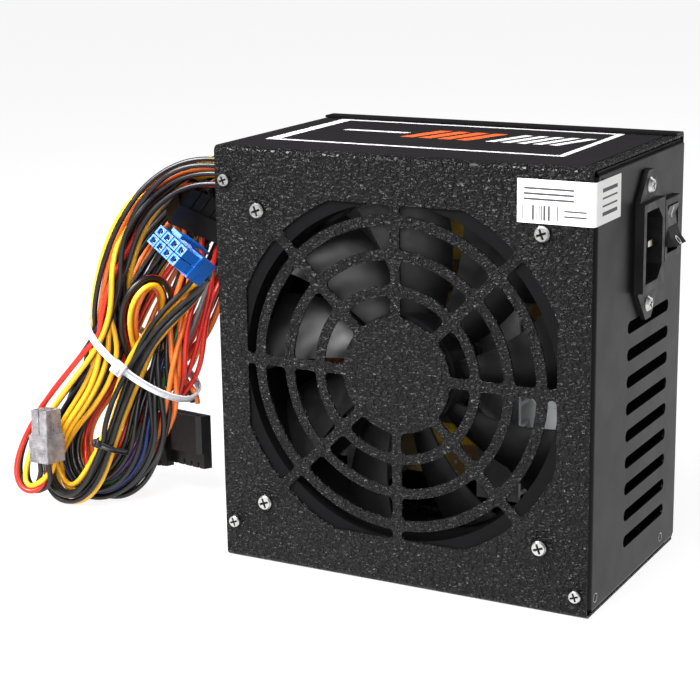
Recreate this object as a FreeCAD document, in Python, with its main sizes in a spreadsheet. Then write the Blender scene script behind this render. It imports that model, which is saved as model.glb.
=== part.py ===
import FreeCAD, Part
import math
import os
import Sketcher

# A desktop power supply unit, standing on one of its long narrow sides.
# Origin: centre of the side it stands on. +X points to the mains panel, -Y to the fan face,
# +Z up. All lengths are millimetres and all angles are degrees.

Vector = FreeCAD.Vector
Rotation = FreeCAD.Rotation
Placement = FreeCAD.Placement

X_AXIS = Vector(1, 0, 0)
Y_AXIS = Vector(0, 1, 0)
Z_AXIS = Vector(0, 0, 1)

DIMENSIONS = (
    # housing
    ("case_width", 140.0),
    ("case_depth", 86.0),
    ("case_height", 150.0),
    ("sheet_thickness", 0.8),
    ("cover_height", 149.0),
    ("cover_width", 138.4),
    ("bend_radius", 2.0),
    ("lip_length", 9.0),
    ("back_strip", 7.5),
    ("seam", 0.2),
    # grille
    ("grille_radius", 63.0),
    ("grille_flat", 58.0),
    ("grille_disc_radius", 20.0),
    ("spoke_half_width", 1.75),
    ("slot_corner", 1.8),
    ("outer_slot_corner", 1.5),
    # fan
    ("fan_size", 120.0),
    ("fan_thickness", 25.0),
    ("fan_bore_radius", 58.4),
    ("fan_screw_pitch", 105.0),
    ("fan_height", 75.0),
    ("blade_tip_radius", 57.2),
    ("hub_radius", 20.5),
    ("shaft_radius", 1.5),
    ("bearing_clearance", 0.05),
    # mains inlet
    ("inlet_depth", 3.5),
    ("inlet_height", 117.2),
    ("inlet_frame_width", 20.5),
    ("inlet_frame_height", 29.7),
    ("inlet_opening_width", 15.8),
    ("inlet_opening_height", 24.3),
    ("inlet_screw_pitch", 40.0),
    ("inlet_ear_span", 50.5),
    # switch
    ("switch_depth", 26.0),
    ("switch_height", 119.2),
    ("switch_bezel_width", 15.0),
    ("switch_bezel_height", 21.0),
    ("rocker_throw", 24.0),
    # mains panel vents and mounting holes
    ("vent_count", 9),
    ("vent_pitch", 9.37),
    ("vent_lowest", 16.5),
    ("vent_height", 4.2),
    ("mount_hole_radius", 1.4),
    ("mount_collar_radius", 2.3),
    ("mount_collar_length", 2.0),
    # circuit board
    ("board_width", 108.0),
    ("board_height", 122.0),
    ("board_thickness", 1.6),
    ("board_face", 35.4),
    ("board_left", -62.0),
    ("board_bottom", 14.0),
    ("heatsink_height", 44.0),
    ("heatsink_length", 104.0),
    # cable outlet
    ("outlet_depth", 10.0),
    ("outlet_height", 127.0),
    ("outlet_radius", 12.2),
    # cables
    ("main_cable_diameter", 14.0),
    ("processor_cable_diameter", 8.0),
    ("small_cable_diameter", 5.0),
    ("wire_diameter", 1.8),
    ("pin_pitch", 4.2),
)

doc = FreeCAD.newDocument("power_supply")
sizes = doc.addObject("Spreadsheet::Sheet", "sizes")
for row, (alias, number) in enumerate(DIMENSIONS, start=1):
    sizes.set(f"A{row}", alias)
    sizes.set(f"B{row}", str(number))
    sizes.setAlias(f"B{row}", alias)
doc.recompute()

nodes = {}


def size(alias):
    """The number that the sheet holds under this alias."""
    return float(sizes.get(alias))


# ---------------------------------------------------------------------------------------
# Small tools
# ---------------------------------------------------------------------------------------


def put(item, prop, value):
    """Sets a property to a number, or binds it to an expression over the sheet."""
    if isinstance(value, str):
        item.setExpression(prop, value)
    else:
        setattr(item, prop, value)


def frame_of(origin, x_direction, z_direction):
    """Placement with +Z along z_direction and +X as near to x_direction as it can be."""
    up = Vector(*z_direction).normalize()
    side = Vector(*x_direction)
    side = (side - up * side.dot(up)).normalize()
    return Placement(Vector(*origin), Rotation(side, up.cross(side), up, "XYZ"))


def along(axis):
    """Rotation that turns +Z to an axis given as a vector."""
    return Rotation(Z_AXIS, axis)


def node(item, name):
    """Registers an object as a sub-part under its file name."""
    item.Label = name
    nodes[name] = item
    return item


def box(name, lengths, corner):
    """Box from its lowest corner."""
    item = doc.addObject("Part::Box", name)
    for prop, value in zip(("Length", "Width", "Height"), lengths):
        put(item, prop, value)
    item.Placement.Base = Vector(*corner)
    return item


def centred_box(name, lengths, centre):
    """Box of plain numbers about its centre."""
    corner = [c - length / 2 for c, length in zip(centre, lengths)]
    return box(name, lengths, corner)


def rod(name, radius, length, start, axis=Z_AXIS):
    """Cylinder from the centre of its first end."""
    item = doc.addObject("Part::Cylinder", name)
    put(item, "Radius", radius)
    put(item, "Height", length)
    item.Placement = Placement(Vector(*start), along(axis))
    return item


def cone(name, radius_start, radius_end, length, start, axis=Z_AXIS):
    """Frustum from the centre of its first end."""
    item = doc.addObject("Part::Cone", name)
    put(item, "Radius1", radius_start)
    put(item, "Radius2", radius_end)
    put(item, "Height", length)
    item.Placement = Placement(Vector(*start), along(axis))
    return item


def fused(name, items):
    """One solid out of several that touch."""
    item = doc.addObject("Part::MultiFuse", name)
    item.Shapes = items
    item.Refine = True
    return item


def cut(name, base, tools):
    """The base with every tool taken away."""
    item = doc.addObject("Part::Cut", name)
    item.Base = base
    item.Tool = tools[0] if len(tools) == 1 else fused(name + "_tools", tools)
    return item


def group(name, items):
    """Several separate solids kept together in one node."""
    item = doc.addObject("Part::Compound", name)
    item.Links = items
    return item


def body(name):
    """New body."""
    return doc.addObject("PartDesign::Body", name)


def sketch(owner, role, name, offset=0.0):
    """Sketch on one of the body's origin planes, moved along that plane's normal."""
    item = owner.newObject("Sketcher::SketchObject", name)
    plane = [f for f in owner.Origin.OriginFeatures if f.Role == role][0]
    item.AttachmentSupport = (plane, [""])
    item.MapMode = "FlatFace"
    item.AttachmentOffset = Placement(Vector(0, 0, offset), Rotation())
    return item


def polygon(item, points):
    """Closed outline of straight lines."""
    loop = list(points) + [points[0]]
    for a, b in zip(loop, loop[1:]):
        item.addGeometry(Part.LineSegment(Vector(*a, 0), Vector(*b, 0)))


def rectangle(item, centre, width, height, name):
    """Rectangle about its centre whose width and height are bound to expressions."""
    x, y = centre
    first = item.GeometryCount
    polygon(item, [(x - 1, y - 1), (x + 1, y - 1), (x + 1, y + 1), (x - 1, y + 1)])
    for k in range(4):
        item.addConstraint(
            Sketcher.Constraint("Coincident", first + k, 2, first + (k + 1) % 4, 1)
        )
    for k, kind in enumerate(("Horizontal", "Vertical", "Horizontal", "Vertical")):
        item.addConstraint(Sketcher.Constraint(kind, first + k))
    centre_point = item.addGeometry(Part.Point(Vector(x, y, 0)), True)
    item.addConstraint(Sketcher.Constraint("Symmetric", first, 1, first + 2, 1, centre_point, 1))
    item.addConstraint(Sketcher.Constraint("DistanceX", -1, 1, centre_point, 1, x))
    item.addConstraint(Sketcher.Constraint("DistanceY", -1, 1, centre_point, 1, y))
    for k, kind, value in ((0, "DistanceX", width), (1, "DistanceY", height)):
        label = f"{name}_{kind}"
        number = item.addConstraint(Sketcher.Constraint(kind, first + k, 1, first + k, 2, 2.0))
        item.renameConstraint(number, label)
        item.setExpression(f".Constraints.{label}", value)


def circle(item, centre, radius, name):
    """Circle whose radius is bound to an expression."""
    x, y = centre
    index = item.addGeometry(Part.Circle(Vector(x, y, 0), Z_AXIS, 1.0))
    item.addConstraint(Sketcher.Constraint("DistanceX", -1, 1, index, 3, x))
    item.addConstraint(Sketcher.Constraint("DistanceY", -1, 1, index, 3, y))
    number = item.addConstraint(Sketcher.Constraint("Radius", index, 1.0))
    item.renameConstraint(number, name)
    item.setExpression(f".Constraints.{name}", radius)


def arc(item, centre, start, end):
    """Arc from start to end, anticlockwise about its centre."""
    c = Vector(*centre, 0)
    a = Vector(*start, 0) - c
    b = Vector(*end, 0) - c
    first = math.atan2(a.y, a.x)
    last = math.atan2(b.y, b.x)
    if last < first:
        last += 2 * math.pi
    item.addGeometry(Part.ArcOfCircle(Part.Circle(c, Z_AXIS, a.Length), first, last))


def line(item, start, end):
    item.addGeometry(Part.LineSegment(Vector(*start, 0), Vector(*end, 0)))


def pad(owner, profile, length, midplane=False, reverse=False):
    item = owner.newObject("PartDesign::Pad", profile.Name + "_pad")
    item.Profile = profile
    put(item, "Length", length)
    item.Midplane = midplane
    item.Reversed = reverse
    profile.Visibility = False
    return item


def pocket(owner, profile, length, midplane=False, reverse=False):
    item = owner.newObject("PartDesign::Pocket", profile.Name + "_pocket")
    item.Profile = profile
    put(item, "Length", length)
    item.Midplane = midplane
    item.Reversed = reverse
    profile.Visibility = False
    return item


def sheet_profile(item, corners, thickness, radius):
    """Outline of a bent sheet. corners are its outer corners, and the metal lies to the left."""
    outer = []
    inner = []
    bends = []
    count = len(corners)
    for k, corner in enumerate(corners):
        here = Vector(*corner, 0)
        before = (here - Vector(*corners[k - 1], 0)).normalize() if k else None
        after = (Vector(*corners[k + 1], 0) - here).normalize() if k + 1 < count else None
        if before is None or after is None:
            way = after or before
            left = Vector(-way.y, way.x, 0)
            outer.append((here, here))
            inner.append((here + left * thickness, here + left * thickness))
            bends.append(None)
            continue
        left = Vector(-before.y, before.x, 0)
        turn = 1 if before.cross(after).z > 0 else -1
        start = here - before * radius
        end = here + after * radius
        centre = start + left * (radius * turn)
        inner_start = start + left * thickness
        inner_end = end + Vector(-after.y, after.x, 0) * thickness
        outer.append((start, end))
        inner.append((inner_start, inner_end))
        bends.append((centre, turn))
    for k in range(count - 1):
        line(item, outer[k][1][:2], outer[k + 1][0][:2])
        line(item, inner[k][1][:2], inner[k + 1][0][:2])
    for k, bend in enumerate(bends):
        if bend:
            centre, turn = bend
            for start, end in (outer[k], inner[k]):
                ends = (start, end) if turn > 0 else (end, start)
                arc(item, centre[:2], ends[0][:2], ends[1][:2])
    line(item, outer[0][0][:2], inner[0][0][:2])
    line(item, outer[-1][1][:2], inner[-1][1][:2])


# ---------------------------------------------------------------------------------------
# Housing
# ---------------------------------------------------------------------------------------

HALF_WIDTH = size("case_width") / 2
HALF_DEPTH = size("case_depth") / 2
THICKNESS = size("sheet_thickness")
SEAM = size("seam")
COVER_TOP = size("cover_height")
FAN_Z = size("fan_height")
FAN_PITCH = size("fan_screw_pitch") / 2
BACK_FACE = HALF_DEPTH - THICKNESS

FAN_SCREWS = [(x, FAN_Z + z) for x in (-FAN_PITCH, FAN_PITCH) for z in (-FAN_PITCH, FAN_PITCH)]
COVER_SCREWS = [(-65.6, 13.4), (-65.6, 137.2), (65.2, 7.6)]
SEALED_SCREW = (65.2, 137.2)
MOUNT_HOLES = [(-37.0, 6.0), (27.0, 6.0), (-37.0, 144.0), (37.0, 120.0)]
RING_SLOTS = [(20.0, 27.5), (31.0, 39.5), (43.0, 51.0)]
OUTER_SLOT_START = 54.7


def slot_point(radius, offset, angle, mirror):
    """Point at a radius and a distance from a spoke's axis, turned to that spoke's angle."""
    x = math.sqrt(radius * radius - offset * offset)
    y = -offset if mirror else offset
    a = math.radians(angle)
    return (
        x * math.cos(a) - y * math.sin(a),
        FAN_Z + x * math.sin(a) + y * math.cos(a),
    )


def scaled(point, factor):
    """Point moved along its radius from the fan's centre."""
    return (point[0] * factor, FAN_Z + (point[1] - FAN_Z) * factor)


def ring_slot(item, inner, outer, start, end):
    """Grille slot between two spokes and two rings, with rounded corners."""
    half = size("spoke_half_width")
    corner = size("slot_corner")
    hub = (0.0, FAN_Z)
    near = slot_point(inner + corner, half + corner, start, False)
    far = slot_point(outer - corner, half + corner, start, False)
    near_end = slot_point(inner + corner, half + corner, end, True)
    far_end = slot_point(outer - corner, half + corner, end, True)
    a = math.radians(start)
    b = math.radians(end)
    to_start = (corner * math.sin(a), -corner * math.cos(a))
    to_end = (-corner * math.sin(b), corner * math.cos(b))
    inner_factor = inner / (inner + corner)
    outer_factor = outer / (outer - corner)
    near_side = (near[0] + to_start[0], near[1] + to_start[1])
    far_side = (far[0] + to_start[0], far[1] + to_start[1])
    near_end_side = (near_end[0] + to_end[0], near_end[1] + to_end[1])
    far_end_side = (far_end[0] + to_end[0], far_end[1] + to_end[1])
    line(item, near_side, far_side)
    arc(item, far, far_side, scaled(far, outer_factor))
    arc(item, hub, scaled(far, outer_factor), scaled(far_end, outer_factor))
    arc(item, far_end, scaled(far_end, outer_factor), far_end_side)
    line(item, far_end_side, near_end_side)
    arc(item, near_end, near_end_side, scaled(near_end, inner_factor))
    arc(item, hub, scaled(near, inner_factor), scaled(near_end, inner_factor))
    arc(item, near, scaled(near, inner_factor), near_side)


def grille_tools(owner):
    """Slot pockets of one eighth turn of the grille, repeated round the fan's axis."""
    item = sketch(owner, "XZ_Plane", "ring_slots", HALF_DEPTH + 1)
    for inner, outer in RING_SLOTS:
        for k in range(8):
            ring_slot(item, inner, outer, 45 * k, 45 * k + 45)
    return pocket(owner, item, 4.0)


def outer_slots(owner):
    """The outermost slots: ring slots whose outer edge is clipped by four flats."""
    ring = sketch(owner, "XZ_Plane", "outer_slots", HALF_DEPTH + 1)
    half = size("spoke_half_width")
    corner = size("outer_slot_corner")
    flat = size("grille_flat")
    radius = size("grille_radius")
    start = OUTER_SLOT_START
    edge = math.sqrt(radius * radius - flat * flat)
    diagonal = math.sqrt(0.5)
    for quarter in range(4):
        for mirror in (False, True):
            def place(x, y):
                if mirror:
                    x, y = y, x
                a = math.radians(90 * quarter)
                return (
                    x * math.cos(a) - y * math.sin(a),
                    FAN_Z + x * math.sin(a) + y * math.cos(a),
                )

            def bend(centre, first, last):
                ends = (last, first) if mirror else (first, last)
                arc(ring, place(*centre), place(*ends[0]), place(*ends[1]))

            def by_diagonal(reach):
                """Point beside the diagonal spoke, at a radius."""
                x = math.sqrt(reach * reach - (half + corner) ** 2)
                y = -(half + corner)
                return ((x - y) * diagonal, (x + y) * diagonal)

            near = (math.sqrt((start + corner) ** 2 - (half + corner) ** 2), half + corner)
            near_diagonal = by_diagonal(start + corner)
            far_diagonal = by_diagonal(radius - corner)
            inwards = start / (start + corner)
            outwards = radius / (radius - corner)
            flat_corner = (flat - corner, half + corner)
            shift = (-corner * diagonal, corner * diagonal)
            line(ring, place(near[0], half), place(flat - corner, half))
            bend(flat_corner, (flat - corner, half), (flat, half + corner))
            line(ring, place(flat, half + corner), place(flat, edge))
            turn = (far_diagonal[0] * outwards, far_diagonal[1] * outwards)
            bend((0, 0), (flat, edge), turn)
            far_side = (far_diagonal[0] + shift[0], far_diagonal[1] + shift[1])
            bend(far_diagonal, turn, far_side)
            near_side = (near_diagonal[0] + shift[0], near_diagonal[1] + shift[1])
            line(ring, place(*far_side), place(*near_side))
            turn_in = (near_diagonal[0] * inwards, near_diagonal[1] * inwards)
            bend(near_diagonal, near_side, turn_in)
            first_in = (near[0] * inwards, near[1] * inwards)
            bend((0, 0), first_in, turn_in)
            bend(near, first_in, (near[0], half))
    return pocket(owner, ring, 4.0)


def make_cover_shell():
    """U-shaped cover: the fan face with its stamped grille, and the two long narrow sides."""
    owner = body("cover_shell")
    profile = sketch(owner, "YZ_Plane", "cover_profile")
    rear = HALF_DEPTH - THICKNESS - SEAM
    corners = [(rear, 0), (-HALF_DEPTH, 0), (-HALF_DEPTH, COVER_TOP), (rear, COVER_TOP)]
    sheet_profile(profile, corners[::-1], THICKNESS, size("bend_radius"))
    pad(owner, profile, "sizes.cover_width", midplane=True)
    grille_tools(owner)
    outer_slots(owner)
    holes = sketch(owner, "XZ_Plane", "cover_holes", HALF_DEPTH + 1)
    for k, place in enumerate(FAN_SCREWS):
        circle(holes, place, "1.9", f"fan_hole_{k}")
    for k, place in enumerate(COVER_SCREWS):
        circle(holes, place, "1.6", f"cover_hole_{k}")
    circle(holes, SEALED_SCREW, "2.8", "sealed_hole")
    pocket(owner, holes, 2.5)
    node(owner, "cover_shell")


def make_base_shell():
    """Base: back plate, mains panel and cable panel, with bent lips under the cover."""
    owner = body("base_shell")
    radius = size("bend_radius")
    lip = size("lip_length")
    front = -HALF_DEPTH + THICKNESS + SEAM
    top = COVER_TOP - THICKNESS - SEAM
    bottom = THICKNESS + SEAM
    channel = sketch(owner, "XY_Plane", "channel", bottom + radius)
    corners = [
        (-HALF_WIDTH + lip, front),
        (-HALF_WIDTH, front),
        (-HALF_WIDTH, HALF_DEPTH),
        (HALF_WIDTH, HALF_DEPTH),
        (HALF_WIDTH, front),
        (HALF_WIDTH - lip, front),
    ]
    sheet_profile(channel, corners[::-1], THICKNESS, radius)
    pad(owner, channel, top - bottom - 2 * radius)

    lips = sketch(owner, "XZ_Plane", "side_lips")
    for side in (-1, 1):
        for level, way in ((top, -1), (bottom, 1)):
            corners = [
                (side * (HALF_WIDTH - lip), level),
                (side * HALF_WIDTH, level),
                (side * HALF_WIDTH, level + way * (radius + 1)),
            ]
            turns_left = side * way > 0
            sheet_profile(lips, corners if turns_left else corners[::-1], THICKNESS, radius)
    pad(owner, lips, 2 * (HALF_DEPTH - radius - 1), midplane=True)

    back = sketch(owner, "YZ_Plane", "back_profile")
    strip = HALF_DEPTH - size("back_strip")
    corners = [
        (strip, size("case_height")),
        (HALF_DEPTH, size("case_height")),
        (HALF_DEPTH, bottom),
        (HALF_DEPTH - lip, bottom),
    ]
    sheet_profile(back, corners[::-1], THICKNESS, 1.2)
    pad(owner, back, 2 * (HALF_WIDTH - 0.8), midplane=True)

    vents = sketch(owner, "YZ_Plane", "vents", HALF_WIDTH - 3)
    half = size("vent_height") / 2
    for k in range(int(size("vent_count"))):
        z = size("vent_lowest") + k * size("vent_pitch")
        left = (-9.5, z)
        right = (26.8, z)
        line(vents, (left[0], z - half), (right[0], z - half))
        arc(vents, right, (right[0], z - half), (right[0], z + half))
        line(vents, (right[0], z + half), (left[0], z + half))
        arc(vents, left, (left[0], z + half), (left[0], z - half))
    pocket(owner, vents, 5.0, reverse=True)

    openings = sketch(owner, "YZ_Plane", "panel_openings", HALF_WIDTH - 3)
    inlet = (size("inlet_depth"), size("inlet_height"))
    rectangle(openings, inlet, "sizes.inlet_frame_width - 1.0", "sizes.inlet_frame_height - 1.7", "inlet")
    switch = (size("switch_depth"), size("switch_height"))
    rectangle(openings, switch, "sizes.switch_bezel_width - 1.8", "sizes.switch_bezel_height - 1.8", "switch")
    for k, z in enumerate((-1, 1)):
        height = inlet[1] + z * size("inlet_screw_pitch") / 2
        circle(openings, (inlet[0], height), "1.6", f"inlet_screw_{k}")
    pocket(owner, openings, 5.0, reverse=True)

    collars = sketch(owner, "YZ_Plane", "mount_collars", HALF_WIDTH)
    for k, place in enumerate(MOUNT_HOLES):
        circle(collars, place, "sizes.mount_collar_radius", f"collar_{k}")
    pad(owner, collars, "sizes.mount_collar_length", reverse=True)
    threads = sketch(owner, "YZ_Plane", "mount_threads", HALF_WIDTH - 3)
    for k, place in enumerate(MOUNT_HOLES):
        circle(threads, place, "sizes.mount_hole_radius", f"thread_{k}")
    pocket(owner, threads, 5.0, reverse=True)

    outlet = sketch(owner, "YZ_Plane", "cable_opening", -HALF_WIDTH - 2)
    place = (size("outlet_depth"), size("outlet_height"))
    circle(outlet, place, "sizes.outlet_radius + 1.6", "outlet")
    pocket(owner, outlet, 5.0, reverse=True)

    taps = sketch(owner, "XZ_Plane", "cover_screw_taps", HALF_DEPTH)
    for k, place in enumerate([*COVER_SCREWS, SEALED_SCREW]):
        circle(taps, place, "1.3", f"tap_{k}")
    pocket(owner, taps, 4.0)
    node(owner, "base_shell")


def screw(name, place, axis, head, shank):
    """Cross-recessed screw. head and shank are (radius, length), and place is under the head."""
    under = Vector(*place)
    out = Vector(*axis)
    top = under + out * head[1]
    crown = cone(name + "_head", head[0], head[0] * 0.72, head[1], under, out)
    stem = rod(name + "_stem", shank[0], shank[1], under - out * shank[1], out)
    turn = along(out)
    arms = []
    for k, angle in enumerate((20, 110)):
        arm = box(f"{name}_arm_{k}", (head[0] * 1.15, head[0] * 0.26, head[1]), (0, 0, 0))
        spin = Rotation(Z_AXIS, angle)
        middle = Vector(-head[0] * 0.575, -head[0] * 0.13, -head[1] * 0.6)
        arm.Placement = Placement(top + turn.multVec(spin.multVec(middle)), turn * spin)
        arms.append(arm)
    return cut(name, fused(name + "_blank", [crown, stem]), arms)


def make_cover_fasteners():
    """Screws that hold the cover to the base's lips, and the label and seal stuck on it."""
    face = -HALF_DEPTH
    screws = [
        screw(f"cover_screw_{k}", (x, face, z), (0, -1, 0), (2.6, 1.1), (1.25, 5.0))
        for k, (x, z) in enumerate(COVER_SCREWS)
    ]
    lip = face + THICKNESS + SEAM
    place = (SEALED_SCREW[0], lip, SEALED_SCREW[1])
    screws.append(screw("sealed_screw", place, (0, -1, 0), (2.6, 1.0), (1.25, 5.0)))
    node(group("cover_screws", screws), "cover_screws")
    label = box("side_label", (132.0, 74.0, 0.15), (-67.0, -39.5, COVER_TOP))
    node(label, "side_label")


def make_barcode_sticker():
    """Paper sticker folded round the edge between the fan face and the mains panel."""
    owner = body("barcode_sticker")
    profile = sketch(owner, "XY_Plane", "sticker_fold", 130.8)
    outer = 0.25
    front = -HALF_DEPTH - outer
    side = HALF_WIDTH + outer
    sheet_profile(profile, [(43.8, front), (side, front), (side, -21.3)], 0.15, 1.6)
    pad(owner, profile, 14.0)
    node(owner, "barcode_sticker")


# ---------------------------------------------------------------------------------------
# Fan
# ---------------------------------------------------------------------------------------

FAN_FRONT = -HALF_DEPTH + THICKNESS
FAN_REAR = FAN_FRONT + size("fan_thickness")
HUB_FRONT = FAN_FRONT + 2.2
HUB_REAR = FAN_REAR - 5.0
BLADE_COUNT = 9


def fan_rod(name, radius, start, end):
    """Cylinder on the fan's axis between two depths."""
    return rod(name, radius, end - start, (0, start, FAN_Z), Y_AXIS)


def make_fan_frame():
    """Square moulded frame with a round bore, four struts and the bearing tube."""
    owner = body("fan_frame")
    flange = sketch(owner, "XZ_Plane", "fan_square", -FAN_REAR)
    rectangle(flange, (0, FAN_Z), "sizes.fan_size", "sizes.fan_size", "fan_outline")
    pad(owner, flange, "sizes.fan_thickness")
    doc.recompute()
    upright = [
        f"Edge{k}"
        for k, edge in enumerate(owner.Tip.Shape.Edges, start=1)
        if abs(edge.tangentAt(edge.FirstParameter).y) > 0.99
    ]
    square = owner.Tip
    rounding = owner.newObject("PartDesign::Fillet", "fan_corners")
    rounding.Base = (square, upright)
    rounding.Radius = 4.5
    bore = sketch(owner, "XZ_Plane", "fan_bore", -FAN_REAR - 1)
    circle(bore, (0, FAN_Z), "sizes.fan_bore_radius", "bore")
    pocket(owner, bore, size("fan_thickness") + 2, reverse=True)
    waist = sketch(owner, "XZ_Plane", "fan_waist", -FAN_REAR + 4)
    reach = size("fan_size") / 2 + 1
    for side in range(4):
        angle = Rotation(Z_AXIS, 90 * side)
        points = [(-34, reach), (34, reach), (25, 59.6), (-25, 59.6)]
        turned = [angle.multVec(Vector(x, y, 0)) for x, y in points]
        polygon(waist, [(p.x, p.y + FAN_Z) for p in turned])
    pocket(owner, waist, size("fan_thickness") - 8, reverse=True)
    holes = sketch(owner, "XZ_Plane", "fan_holes", -FAN_REAR - 1)
    for k, place in enumerate(FAN_SCREWS):
        circle(holes, place, "1.9", f"hole_{k}")
    pocket(owner, holes, size("fan_thickness") + 2, reverse=True)
    disc = sketch(owner, "XZ_Plane", "motor_plate", -FAN_REAR)
    circle(disc, (0, FAN_Z), "sizes.hub_radius", "plate")
    for k, angle in enumerate((45, 135, 225, 315)):
        turn = Rotation(Z_AXIS, angle)
        points = [(19.0, -2.5), (59.0, -2.5), (59.0, 2.5), (19.0, 2.5)]
        turned = [turn.multVec(Vector(x, y, 0)) for x, y in points]
        strut = sketch(owner, "XZ_Plane", f"strut_{k}", -FAN_REAR)
        polygon(strut, [(p.x, p.y + FAN_Z) for p in turned])
        pad(owner, strut, 3.2)
    pad(owner, disc, 3.2)
    tube = sketch(owner, "XZ_Plane", "bearing_tube", -FAN_REAR)
    circle(tube, (0, FAN_Z), "5.0", "tube")
    pad(owner, tube, 16.5)
    seat = sketch(owner, "XZ_Plane", "bearing_seat", -FAN_REAR - 1)
    circle(seat, (0, FAN_Z), "3.5", "seat")
    pocket(owner, seat, 18.5, reverse=True)
    node(owner, "fan_frame")


def blade_section(radius, chord, pitch, sweep, thickness):
    """Closed section of a blade on the plane at this radius, as a smooth wire."""
    points = []
    turn = Rotation(X_AXIS, pitch)
    for k, share in enumerate((0.0, 0.25, 0.6, 1.0)):
        camber = 0.9 * math.sin(math.pi * share)
        half = thickness * (0.35 + 0.65 * math.sin(math.pi * min(1.0, share + 0.12))) / 2
        points.append((share - 0.5, camber, half))
    upper = [turn.multVec(Vector(0, chord * s, c + h)) for s, c, h in points]
    lower = [turn.multVec(Vector(0, chord * s, c - h)) for s, c, h in reversed(points)]
    middle = (HUB_FRONT + HUB_REAR) / 2 + 0.6
    curves = []
    for side in (upper, lower):
        spline = Part.BSplineCurve()
        spline.interpolate(side)
        curves.append(spline.toShape())
    joins = [Part.makeLine(upper[-1], lower[0]), Part.makeLine(lower[-1], upper[0])]
    wire = Part.Wire([curves[0], joins[0], curves[1], joins[1]])
    # section frame: local X is the radius, local Y the chord in the turning direction
    wire.translate(Vector(radius, 0, 0))
    wire.rotate(Vector(0, 0, 0), Z_AXIS, sweep)
    upright = Rotation(X_AXIS, 90)
    wire.Placement = Placement(Vector(0, middle, FAN_Z), upright) * wire.Placement
    return wire


def make_fan_rotor():
    """Hub cup with nine swept blades, moulded in one piece."""
    wall = 1.5
    cup = fan_rod("rotor_cup_outer", "sizes.hub_radius", HUB_FRONT, HUB_REAR)
    hollow = fan_rod("rotor_cup_hollow", size("hub_radius") - wall, HUB_FRONT + wall, HUB_REAR + 1)
    boss = fan_rod("rotor_boss", 4.0, HUB_FRONT + wall, HUB_FRONT + 4.5)
    shaft_hole = fan_rod("rotor_shaft_hole", "sizes.shaft_radius", HUB_FRONT + wall, HUB_FRONT + 5)
    sections = [
        blade_section(size("hub_radius") - 0.7, 14.5, 40, 0, 2.2),
        blade_section(38.0, 23.0, 33, 6, 1.9),
        blade_section(size("blade_tip_radius") + 2, 31.0, 26, 15, 1.6),
    ]
    loft = Part.makeLoft(sections, True, False)
    barrel = Part.makeCylinder(
        size("blade_tip_radius"), 30, Vector(0, HUB_FRONT - 5, FAN_Z), Y_AXIS
    )
    blade_shape = loft.common(barrel)
    blades = []
    for k in range(BLADE_COUNT):
        blade = doc.addObject("Part::Feature", f"blade_{k}")
        turned = blade_shape.copy()
        turned.rotate(Vector(0, 0, FAN_Z), Y_AXIS, 360 * k / BLADE_COUNT)
        blade.Shape = turned
        blades.append(blade)
    hub = cut("rotor_hub", cup, [hollow])
    solid = fused("rotor_blank", [hub, boss, *blades])
    inside = fan_rod("rotor_inside", size("hub_radius") - wall, HUB_FRONT + 4.5, HUB_REAR + 1)
    rotor = cut("fan_rotor", solid, [shaft_hole, inside])
    node(rotor, "fan_rotor")


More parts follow.
